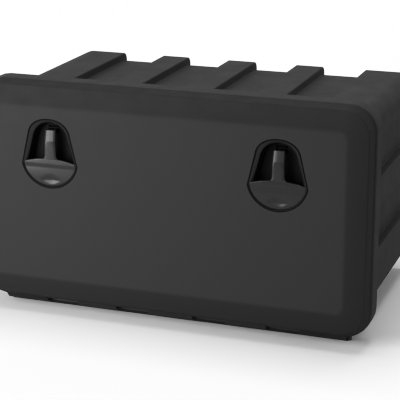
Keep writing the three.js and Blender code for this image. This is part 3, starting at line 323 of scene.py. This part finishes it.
def door_loop(low, high, inset, radius, steps=16):
    """A rounded rectangle moved in from the corners low and high, as (x, z) points."""
    points = []
    for quarter, (sx, sz) in enumerate(((1, 1), (-1, 1), (-1, -1), (1, -1))):
        corner_x = (high.x if sx > 0 else low.x) - sx * (inset + radius)
        corner_z = (high.z if sz > 0 else low.z) - sz * (inset + radius)
        for i in range(steps + 1):
            angle = (quarter + i / steps) * math.pi / 2
            points.append((corner_x + radius * math.cos(angle), corner_z + radius * math.sin(angle)))
    return points


def ring_shell(form, rings, ends=True):
    """Adds a surface through rings of equal count, closed at both ends if ends is true."""
    rows = [[form.verts.new(point) for point in ring] for ring in rings]
    for one, two in zip(rows, rows[1:]):
        for i in range(len(one)):
            j = (i + 1) % len(one)
            form.faces.new((one[i], one[j], two[j], two[i]))
    if ends:
        form.faces.new(rows[0][::-1])
        form.faces.new(rows[-1])
    return rows


def fill_between(form, rows):
    """Fills a flat face between an outer row of vertices and the holes in it."""
    rims = []
    for row in rows:
        for i in range(len(row)):
            pair = (row[i], row[(i + 1) % len(row)])
            rims.append(form.edges.get(pair) or form.edges.new(pair))
    bmesh.ops.triangle_fill(form, edges=rims, use_beauty=True, use_dissolve=False)


def shaded(form, sharp=38):
    """Turns the faces outwards and keeps only edges above the angle sharp."""
    bmesh.ops.recalc_face_normals(form, faces=form.faces)
    for face in form.faces:
        face.smooth = True
    for edge in form.edges:
        edge.smooth = len(edge.link_faces) != 2 or edge.calc_face_angle() < math.radians(sharp)


latch_x = 228.7 * mm
cup_bottom, cup_height, cup_half = 264.5 * mm, 138.2 * mm, 58.7 * mm
shoulder_rise, crown_half, crown_drop, crown_corner = 47 * mm, 41 * mm, 17 * mm, 15 * mm
bowl_steps, side_steps, crown_steps = 20, 4, 16


def cup_loop(x, inset):
    """The cup's outline moved in by inset: a round bowl, leaning sides and an arched crown."""
    half, crown = cup_half - inset, crown_half - inset
    top, rise = cup_height - inset, shoulder_rise - inset
    crown_z = top - crown_drop
    lean = (half - crown) / (crown_z - shoulder_rise)
    bowl = (half**2 + rise**2) / (2 * rise)
    bowl_end = math.asin((rise - bowl) / bowl)
    points = []
    for i in range(bowl_steps + 1):
        angle = -math.pi / 2 + (bowl_end + math.pi / 2) * i / bowl_steps
        points.append((bowl * math.cos(angle), inset + bowl + bowl * math.sin(angle)))
    start = (crown + lean * crown_corner, crown_z - crown_corner)
    for i in range(1, side_steps + 1):
        t = i / side_steps
        points.append((half + (start[0] - half) * t, shoulder_rise + (start[1] - shoulder_rise) * t))
    pulls = (start, (crown, top - crown_drop / 2), (crown / 2, top), (0, top))
    for i in range(1, crown_steps + 1):
        t = i / crown_steps
        weights = ((1 - t) ** 3, 3 * t * (1 - t) ** 2, 3 * t * t * (1 - t), t**3)
        points.append(tuple(sum(w * p[k] for w, p in zip(weights, pulls)) for k in (0, 1)))
    points += [(-u, h) for u, h in points[-2:0:-1]]
    return [(x + u, cup_bottom + h) for u, h in points]


def band_depth(fall):
    """How far the band lies behind the face, at a distance fall out from the face's edge."""
    return band_slope * fall + band_bend * fall**2 / (2 * band_width)


def skin_ring(inset, depth):
    """One ring of the skin: the door's outline moved in by inset, at a depth behind its face."""
    radius = door_radius - (door_radius - face_radius) * min(1, inset / band_width)
    return [(x, face_y + depth, z) for x, z in door_loop(door_low, door_high, inset, radius)]


band_falls = (0, 3, 7, 12, 18, 24, 30, 35, 38.5)
outside = [skin_ring(band_width - fall * mm, band_depth(fall * mm)) for fall in band_falls]
last_tilt = math.degrees(math.atan(band_slope + band_bend * band_end / band_width))
for tilt in (last_tilt, 32, 50, 70, 90):
    out, back = edge_round * math.sin(math.radians(tilt)), edge_round * math.cos(math.radians(tilt))
    outside.append(skin_ring(edge_round - out, rim_depth - rim_flat - back))
outside.append(skin_ring(0, rim_depth))
inside = [
    skin_ring(spigot_inset, rim_depth),
    skin_ring(spigot_inset, rim_depth + spigot_depth),
    skin_ring(spigot_inset + spigot_wall, rim_depth + spigot_depth),
]
for inset in (spigot_inset + spigot_wall, 20 * mm, band_width):
    inside.append(skin_ring(inset, band_depth(band_width - inset) + skin_wall))
form = bmesh.new()
rows = ring_shell(form, outside + inside, ends=False)
fronts, backs = [rows[0]], [rows[-1]]
hole_edge = ((-0.6 * mm, 0), (-0.18 * mm, 0.18 * mm), (0, 0.6 * mm), (0, skin_wall))
for sign in (-1, 1):
    rings = []
    for inset, depth in hole_edge:
        rings.append([(x, face_y + depth, z) for x, z in cup_loop(sign * latch_x, inset)])
    hole = ring_shell(form, rings, ends=False)
    fronts.append(hole[0])
    backs.append(hole[-1])
fill_between(form, fronts)
fill_between(form, backs)
shaded(form, 30)
door_polyethylene = moulded_skin("injection_moulded_polyethylene_band_shade", "#313132", "#242425")
door_skin = piece_from(form, "door_skin", [door_polyethylene], "door_outer_panel", "door")
shading = door_skin.modifiers.new("shading", "WEIGHTED_NORMAL")
shading.keep_sharp = True

# The door's inner shell is a tray of the same plastic, moulded with a coarser and duller grain. It
# holds the seal's groove, and the door's hinge knuckles stand along its lower edge.
tray_polyethylene = moulded_plastic(
    "coarse_grained_polyethylene", "#2e2e2f", 0.8, 2.2 * mm, 0.14 * mm, 0.6 * mm, gloss=0.06
)
# The tray's knuckles, its faces below the hinge's top, take the near-black knuckle plastic: painted shade
# for the shadow under the door.
softened(
    "door_inner_panel",
    "door_tray",
    tray_polyethylene,
    "door",
    2.2 * mm,
    mark=lambda face: face.calc_center_median().z < hinge_top,
    second=knuckle_shade_polyethylene,
)

# Each latch cup is a black ABS moulding that drops into its hole in the door from behind. The chamfer
# beside the stem is glossier and painted lighter: a painted highlight for the light it catches on one
# side. The rest is matt and near-black, its own black darkened further as painted shade for the
# shade deep in the cup.
cup_black_and_shade = moulded_plastic(
    "matt_black_abs_and_painted_shade", "#0a0a0b", 0.5, 3 * mm, 0.02 * mm, 0.2 * mm, scuff=0.05, gloss=0.08
)
chamfer_highlight_abs = moulded_plastic(
    "polished_black_abs_painted_highlight", "#1a1a1b", 0.36, 3 * mm, 0.01 * mm, 0.1 * mm, scuff=0.04, gloss=0.4
)
cup_gap, cup_rim, cup_chamfer, cup_draft, cup_wall = 1.2 * mm, 1.3 * mm, 6 * mm, 3 * mm, 2.5 * mm
rim_sink, rim_corner = 0.3 * mm, 0.4 * mm
cup_floor, cup_back, floor_corner = 26 * mm, 28.5 * mm, 3 * mm
flange_front, flange_back, flange_width = 10.3 * mm, 13.3 * mm, 11 * mm
slot_half, slot_low, slot_high = 11.5 * mm, 370 * mm, 384.5 * mm
ear_inside, ear_thick, ear_radius, ear_root = 16 * mm, 4 * mm, 6 * mm, 0.2 * mm
pivot_y, pivot_z = -217 * mm, 377 * mm


def cup_shell(form, x):
    """Adds the cup: its inside, chamfer, rim, flange and outside, with the slot for the handle's arm."""
    waist = cup_gap + cup_rim + cup_chamfer
    rows = []
    for i in range(5):
        bend = i / 4 * math.pi / 2
        inset = waist + cup_draft + floor_corner * (1 - math.sin(bend))
        rows.append((inset, cup_floor - floor_corner * (1 - math.cos(bend))))
    rows += [(waist + 0.3 * mm, cup_chamfer + 0.8 * mm), (waist - 0.5 * mm, cup_chamfer - 0.6 * mm)]
    rows += [(cup_gap + cup_rim + rim_corner, 0.5 * mm), (cup_gap + cup_rim, rim_sink)]
    rows += [(cup_gap + rim_corner, rim_sink), (cup_gap, rim_sink + rim_corner), (cup_gap, flange_front)]
    rows += [(-flange_width, flange_front), (-flange_width, flange_back), (waist - cup_wall, flange_back)]
    rows += [(waist, cup_back)]
    rings = [[(px, face_y + depth, pz) for px, pz in cup_loop(x, inset)] for inset, depth in rows]
    shell = ring_shell(form, rings, ends=False)
    left, right = x - slot_half, x + slot_half
    slot = [(left, slot_low), (right, slot_low), (right, slot_high), (left, slot_high)]
    slot_rings = [[(px, face_y + depth, pz) for px, pz in slot] for depth in (cup_floor, cup_back)]
    cut = ring_shell(form, slot_rings, ends=False)
    fill_between(form, [shell[0], cut[0]])
    fill_between(form, [shell[-1], cut[-1]])


def ear_shell(form, start, end):
    """Adds one ear behind the cup, round about the pin, from x = start to x = end."""
    root_y = face_y + cup_back - ear_root
    outline = [(root_y, pivot_z - ear_radius)]
    outline += [
        (pivot_y + ear_radius * math.sin(a), pivot_z - ear_radius * math.cos(a))
        for a in (math.pi * i / 12 for i in range(13))
    ]
    outline.append((root_y, pivot_z + ear_radius))
    ring_shell(form, [[(x, y, z) for y, z in outline] for x in (start, end)])


for side, sign in (("left", -1), ("right", 1)):
    form = bmesh.new()
    cup_shell(form, sign * latch_x)
    for way in (-1, 1):
        near = sign * latch_x + way * ear_inside
        ear_shell(form, near, near + way * ear_thick)
    shaded(form)
    # The upper chamfer gets the lighter, glossier plastic as a painted highlight. The rest of the cup is
    # near-black, partly painted shade.
    for face in form.faces:
        place = face.calc_center_median()
        on_chamfer = face_y + 0.6 * mm < place.y < face_y + cup_chamfer
        beside_stem = place.z > cup_bottom + shoulder_rise
        face.material_index = 1 if on_chamfer and beside_stem else 0
    piece_from(form, f"cup_moulding_{side}", [cup_black_and_shade, chamfer_highlight_abs], f"latch_cup_{side}", "door")


# Each pull handle is moulded in satin nylon: a half-moon pad with a lip above a soft crease, a scoop
# for the fingertips, and a stem whose crowned top leans back before it runs to the hub on its pin.
def rounded_section(half_x, half_y, radius, steps=3):
    """A rounded rectangle about its middle, as (x, y) points."""
    points = []
    for quarter, (sx, sy) in enumerate(((1, 1), (-1, 1), (-1, -1), (1, -1))):
        for i in range(steps + 1):
            angle = (quarter + i / steps) * math.pi / 2
            x = sx * (half_x - radius) + radius * math.cos(angle)
            points.append((x, sy * (half_y - radius) + radius * math.sin(angle)))
    return points


handle_nylon = moulded_plastic(
    "satin_glass_filled_nylon", "#272728", 0.22, 1.2 * mm, 0.02 * mm, 0.1 * mm, scuff=0.02, gloss=0.26
)
pad_front, pad_back = face_y + 0.6 * mm, face_y + 9.6 * mm
pad_half, bowl_radius, pad_foot = 54.5 * mm, 56.1 * mm, 4.2 * mm
pad_top, pad_arch, pad_middle, side_lean = 59.5 * mm, 9 * mm, 34 * mm, 0.239
lip_slope, pad_round, tail_height, tail_drop = 0.06, 1.8 * mm, 30 * mm, 1.4 * mm
crease_rise, crease_half, crease_depth = 45 * mm, 4.5 * mm, 1.1 * mm
crease_room, regained, regain_length = 6 * mm, 0.7, 9 * mm
scoop_half, scoop_low, scoop_high = 21 * mm, 8.5 * mm, 31 * mm
scoop_rise, scoop_depth, scoop_curve = 17 * mm, 2.6 * mm, 1.6
half_columns, foot_rows, crease_rows, lip_rows = 24, 24, 4, 7


def pad_depth(u, h, crease):
    """How far the pad's front lies behind its foremost plane, at u across and h above the cup's foot."""
    depth = tail_drop * min(1, max(0, (tail_height - h) / tail_height)) ** 2
    nose = crease + crease_half
    inward = min(1, max(0, (nose - h) / (2 * crease_half)))
    depth += crease_depth * inward**2 * (3 - 2 * inward) + lip_slope * max(0, h - nose)
    below_crease = max(0, nose - 2 * crease_half - h)
    depth -= regained * crease_depth * (1 - math.exp(-below_crease / regain_length))
    aside = min(1, (u / scoop_half) ** 2)
    low = scoop_low + (scoop_rise - scoop_low) * aside
    high = scoop_high - (scoop_high - scoop_rise) * aside
    deepest = scoop_depth * (scoop_rise - low) / (scoop_rise - scoop_low)
    if low < h <= scoop_rise:
        depth += deepest * (h - low) / (scoop_rise - low)
    elif scoop_rise < h < high:
        depth += deepest * ((high - h) / (high - scoop_rise)) ** scoop_curve
    return depth


def pad_shell(form, x):
    """Adds the half-moon pad: columns run up from its round foot, over the crease, to the arched top."""
    columns = []
    for k in range(-half_columns, half_columns + 1):
        u = math.sin(math.pi / 2 * k / half_columns) * pad_half
        foot = pad_foot + bowl_radius - math.sqrt(bowl_radius**2 - u * u)
        top = pad_top - pad_arch * (u / cup_half) ** 2
        crease = max(crease_rise, foot + 0.35 * (top - foot))
        below = min(crease_room, 0.6 * (crease - foot))
        above = min(crease_room, 0.6 * (top - crease))
        heights = [foot + (crease - below - foot) * i / foot_rows for i in range(foot_rows + 1)]
        for i in range(-crease_rows, crease_rows + 1):
            heights.append(crease + i / (crease_rows + 1) * (below if i < 0 else above))
        heights += [crease + above + (top - crease - above) * i / lip_rows for i in range(lip_rows + 1)]
        columns.append((u, heights))
    middle_of_crease = foot_rows + 1 + crease_rows
    span = [columns[0][0], columns[-1][0]]
    front = []
    for u, heights in columns:
        foot, top, crease = heights[0], heights[-1], heights[middle_of_crease]
        row = []
        for h in heights:
            lean = max(0, h - shoulder_rise) * side_lean
            v = u * (1 - lean / pad_half)
            edge = min(h - foot, top - h, abs(u - span[0]), abs(span[1] - u))
            soft = pad_round - math.sqrt(max(0, pad_round**2 - max(0, pad_round - edge) ** 2))
            y = pad_front + pad_depth(v, h, crease) + (soft if edge < pad_round else 0)
            row.append(form.verts.new((x + v, y, cup_bottom + h)))
        front.append(row)
    for one, two in zip(front, front[1:]):
        for i in range(len(one) - 1):
            form.faces.new((one[i], two[i], two[i + 1], one[i + 1]))
    rim = [column[0] for column in front] + front[-1][1:]
    rim += [column[-1] for column in front[-2::-1]] + front[0][-2:0:-1]
    centre = Vector((x, 0, cup_bottom + pad_middle))
    last = rim
    for y, shrink in ((face_y + 6 * mm, 0.9), (pad_back - 0.5 * mm, 0.9), (pad_back, 0.885)):
        ring = []
        for vert in rim:
            away = vert.co - centre
            ring.append(form.verts.new((centre.x + away.x * shrink, y, centre.z + away.z * shrink)))
        for i in range(len(ring)):
            j = (i + 1) % len(ring)
            form.faces.new((last[j], last[i], ring[i], ring[j]))
        last = ring
    form.faces.new(last)


stem_front, stem_back = face_y + 2.3 * mm, face_y + 7.5 * mm
stem_foot, stem_bend, stem_top, stem_lean = 320.5 * mm, 358 * mm, 379 * mm, 0.214
stem_half, head_foot, head_taper, foot_crown, head_crown = 11.2 * mm, 357 * mm, 0.03, 0.3 * mm, 0.8 * mm
corner_drop, corner_power, half_points = 1.3 * mm, 12, 6
arm_low, arm_top, arm_corner, arm_half, arm_root = 371.6 * mm, 378.9 * mm, 4 * mm, 9.4 * mm, 3 * mm
# In millimetres: heights above the stem's foot with its half widths, where it flares out to the pad;
# heights of its head's rings; the hub's places across with its radii; the tang's depths with insets.
foot_flare = ((0, 16.5), (2.6, 15.4), (3.8, 13.9), (5.2, 12.8), (7.2, 12.2))
foot_flare += ((10, 11.9), (24, 11.5), (35, 11.2))
head_levels = (357, 358, 358.8, 362, 365, 367.6, 369.6, 371.6, 373.6, 376, 378)
hub_profile = ((-10, 4.8), (-9.6, 5.6), (-8.8, 6), (8.8, 6), (9.6, 5.6), (10, 4.8))
tang_profile, tang_half_x, tang_half_z = ((0, 0), (8.4, 0), (9, 0.6)), 10, 6


def stem_ring(x, z, half, crown, trim=0):
    """A level ring of the stem at height z: a crowned front, a flat back, and corners rounded off."""
    front = stem_front + stem_lean * max(0, z - stem_bend) + trim
    back = stem_back + min(1.5 * arm_corner, max(0, z - arm_low + arm_corner))
    points = []
    for i in range(-half_points, half_points + 1):
        u = half * (1 - trim / half) * math.sin(math.pi / 2 * i / half_points)
        corner = corner_drop * (abs(u) / half) ** corner_power
        points.append((x + u, front + crown * (u / half) ** 2 + corner, z))
    corners = ((half, back - mm), (half - mm, back), (mm - half, back), (-half, back - mm))
    return points + [(x + u, y, z) for u, y in corners]


def stem_shell(form, x):
    """Adds the stem, which is wider at its foot, its arm, the hub round the pin and the hook's tang."""
    rings = [stem_ring(x, stem_foot + rise * mm, half * mm, foot_crown) for rise, half in foot_flare]
    for level in head_levels:
        half = stem_half - head_taper * (level * mm - head_foot)
        rings.append(stem_ring(x, level * mm, half, head_crown))
    rings.append(stem_ring(x, stem_top - 0.4 * mm, 10.55 * mm, head_crown))
    rings.append(stem_ring(x, stem_top, 10.5 * mm, head_crown, trim=0.2 * mm))
    ring_shell(form, rings)
    arm = rounded_section(arm_half, (arm_top - arm_low) / 2, 1 * mm)
    arm_z = (arm_low + arm_top) / 2
    ring_shell(form, [[(x + a, y, arm_z + b) for a, b in arm] for y in (stem_back + arm_root, pivot_y)])
    around = [2 * math.pi * i / 28 for i in range(28)]
    hub = []
    for across, r in hub_profile:
        circle = [(r * mm * math.cos(a), r * mm * math.sin(a)) for a in around]
        hub.append([(x + across * mm, pivot_y + b, pivot_z + c) for b, c in circle])
    ring_shell(form, hub)
    tang = []
    for depth, inset in tang_profile:
        section = rounded_section((tang_half_x - inset) * mm, (tang_half_z - inset) * mm, 1 * mm)
        tang.append([(x + a, pivot_y + depth * mm, pivot_z + b) for a, b in section])
    ring_shell(form, tang)


for side, sign in (("left", -1), ("right", 1)):
    form = bmesh.new()
    pad_shell(form, sign * latch_x)
    stem_shell(form, sign * latch_x)
    shaded(form)
    # The pad's back, the stem's top, and the arm, hub and tang behind them take the cup's near-black
    # plastic: painted shade for the shadow inside the cup.
    for face in form.faces:
        place = face.calc_center_median()
        in_cup_shade = place.y > pad_back + 0.1 * mm or place.z > stem_top - 0.1 * mm
        face.material_index = 1 if in_cup_shade else 0
    name, node = f"pull_handle_{side}", f"latch_handle_{side}"
    piece_from(form, name, [handle_nylon, cup_black_and_shade], node, f"latch_{side}")

# The seal is an extruded rubber cord with a round crown, joined into a ring and pressed into the
# groove in the door's tray, so that only its crown stands out.
rubber = moulded_plastic("extruded_epdm_rubber", "#171717", 0.8, 1.2 * mm, 0.05 * mm, 0.2 * mm)
low, high = (Vector(corner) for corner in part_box("door_seal"))
seal_width, seal_radius, seal_side = 11.4 * mm, 29.7 * mm, 4.6 * mm
crown_y = low.y + seal_side
section = [(0, low.y), (0, crown_y)]
section += [
    (seal_width / 2 * (1 - math.cos(a)), crown_y + (high.y - low.y - seal_side) * math.sin(a))
    for a in (math.pi * i / 10 for i in range(1, 10))
]
section += [(seal_width, crown_y), (seal_width, low.y)]
form = bmesh.new()
tracks = [door_loop(low, high, inset, seal_radius - inset, steps=8) for inset, y in section]
rings = []
for i in range(len(tracks[0])):
    rings.append([(track[i][0], y, track[i][1]) for track, (inset, y) in zip(tracks, section)])
ring_shell(form, rings + rings[:1], ends=False)
bmesh.ops.remove_doubles(form, verts=form.verts, dist=0.0001 * mm)
shaded(form, 50)
piece_from(form, "door_seal_cord", [rubber], "door_seal", "door")


# The keepers are stamped and the hooks cast in steel, and both are zinc plated, which is bright with
# a fine crystalline mottle. The rod, pins, springs and screws are plain drawn stainless steel, and
# the caps on the rod's ends are moulded in the handles' nylon.
def bright_metal(name, colour, roughness, mottle):
    """A bare or plated metal with a mottle of the given width."""
    material = bpy.data.materials.new(name)
    material.use_nodes = True
    tree = material.node_tree
    shader = tree.nodes["Principled BSDF"]
    place = add(tree, "ShaderNodeTexCoord").outputs["Object"]
    cells = add(tree, "ShaderNodeTexVoronoi", {"Vector": place}, Scale=1 / mottle)
    uneven = add(
        tree,
        "ShaderNodeMapRange",
        {"Value": cells.outputs["Distance"]},
        From_Min=0.0,
        From_Max=1.0,
        To_Min=roughness - 0.08,
        To_Max=roughness + 0.12,
    )
    tree.links.new(uneven.outputs["Result"], shader.inputs["Roughness"])
    shader.inputs["Base Color"].default_value = linear(colour)
    shader.inputs["Metallic"].default_value = 1
    return material


zinc = bright_metal("zinc_plated_steel", "#c3c7cc", 0.34, 3 * mm)
stainless = bright_metal("drawn_stainless_steel", "#b9b9ba", 0.28, 1.5 * mm)
softened("hinge_rod", "hinge_bar", stainless, "body", 0.4 * mm)
for side in ("left", "right"):
    softened(f"hinge_rod_cap_{side}", f"rod_end_cap_{side}", handle_nylon, "body", 0.8 * mm)
    softened(f"keeper_{side}", f"keeper_angle_{side}", zinc, "body", 0.5 * mm)
    softened(f"latch_hook_{side}", f"hook_plate_{side}", zinc, f"latch_{side}", 0.4 * mm)
    softened(f"latch_pin_{side}", f"pivot_pin_{side}", stainless, "door", 0.3 * mm)

# Each latch's spring is a torsion spring of drawn wire, wound round the pin between the handle and
# the cup's ear, with one leg down the cup's back and the other to the rear.
wire_radius, coil_radius, pitch, turns = 0.6 * mm, 3.6 * mm, 1.7 * mm, 2.25
spring_offset, coil_steps, wire_sides = 11.2 * mm, 72, 10
around = [2 * math.pi * k / wire_sides for k in range(wire_sides)]
wire_section = [(wire_radius * math.cos(a), wire_radius * math.sin(a)) for a in around]
for side, sign in (("left", -1), ("right", 1)):
    first = sign * (latch_x + spring_offset)
    points = [Vector((first, pivot_y - coil_radius, pivot_z - drop * mm)) for drop in (13, 9, 5, 2)]
    for i in range(coil_steps + 1):
        done = turns * i / coil_steps
        angle = math.pi - 2 * math.pi * done
        y = pivot_y + coil_radius * math.cos(angle)
        z = pivot_z + coil_radius * math.sin(angle)
        points.append(Vector((first + sign * done * pitch, y, z)))
    points += [points[-1] + Vector((0, reach * mm, 0)) for reach in (2, 4.5, 7)]
    form = bmesh.new()
    rings = []
    for i, point in enumerate(points):
        along = (points[min(i + 1, len(points) - 1)] - points[max(i - 1, 0)]).normalized()
        one = (Vector((1, 0, 0)) - along * along.x).normalized()
        two = along.cross(one)
        rings.append([point + one * a + two * b for a, b in wire_section])
    ring_shell(form, rings)
    shaded(form)
    piece_from(form, f"torsion_spring_{side}", [stainless], f"latch_spring_{side}", "door")

# Every screw is a pan-head screw with a cross recess. Its head is round-edged and its shank plain,
# since the thread is out of sight in the plastic.
screw_bodies = {"panel_screw": "door", "cup_screw": "door", "keeper_screw": "body"}
screw_sides, pit_taper = 24, 0.8
for node in [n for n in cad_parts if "screw" in n]:
    low, high = (Vector(corner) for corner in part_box(node))
    middle = (low + high) / 2
    if node.startswith(("panel", "cup")):
        tip, top = Vector((middle.x, low.y, middle.z)), Vector((middle.x, high.y, middle.z))
    elif node.startswith("keeper"):
        tip, top = Vector((middle.x, middle.y, high.z)), Vector((middle.x, middle.y, low.z))
    else:
        tip, top = Vector((middle.x, middle.y, low.z)), Vector((middle.x, middle.y, high.z))
    along = (top - tip).normalized()
    length = (top - tip).length
    head = (high.x - low.x) / 2
    shank, rise = (1.4 * mm, 1.6 * mm) if node.startswith("hook") else (2 * mm, 2.4 * mm)
    one = Vector((1, 0, 0))
    two = along.cross(one)
    neck = length - rise
    profile = [(0.25 * shank, 0), (0.96 * shank, 1.4 * shank), (0.96 * shank, neck), (0.94 * head, neck)]
    profile += [(head, neck + 0.1 * rise), (head, neck + 0.4 * rise), (0.9 * head, neck + 0.75 * rise)]
    profile += [(0.72 * head, neck + 0.93 * rise), (0.6 * head, length)]
    around = [2 * math.pi * k / screw_sides for k in range(screw_sides)]
    form = bmesh.new()
    rings = []
    for r, t in profile:
        rings.append([tip + along * t + one * r * math.cos(a) + two * r * math.sin(a) for a in around])
    rows = ring_shell(form, rings, ends=False)
    form.faces.new(rows[0][::-1])
    arm, slit, depth = 0.5 * head, 0.15 * head, 0.6 * rise
    cross = [(arm, -slit), (arm, slit), (slit, slit), (slit, arm), (-slit, arm), (-slit, slit)]
    cross += [(-a, -b) for a, b in cross]
    mouth = [form.verts.new(top + one * a + two * b) for a, b in cross]
    pit = [form.verts.new(top - along * depth + one * a * pit_taper + two * b * pit_taper) for a, b in cross]
    corners = len(cross)
    lip = [form.edges.new((mouth[i], mouth[(i + 1) % corners])) for i in range(corners)]
    crown = [form.edges.get((rows[-1][i], rows[-1][(i + 1) % screw_sides])) for i in range(screw_sides)]
    bmesh.ops.triangle_fill(form, edges=lip + crown, use_beauty=True, use_dissolve=False)
    for i in range(corners):
        j = (i + 1) % corners
        form.faces.new((mouth[i], mouth[j], pit[j], pit[i]))
    form.faces.new(pit)
    shaded(form, 35)
    kind = "_".join(node.split("_")[:2])
    body = screw_bodies.get(kind) or f"latch_{node.split('_')[2]}"
    piece_from(form, f"pan_head_{node}", [stainless], node, body)
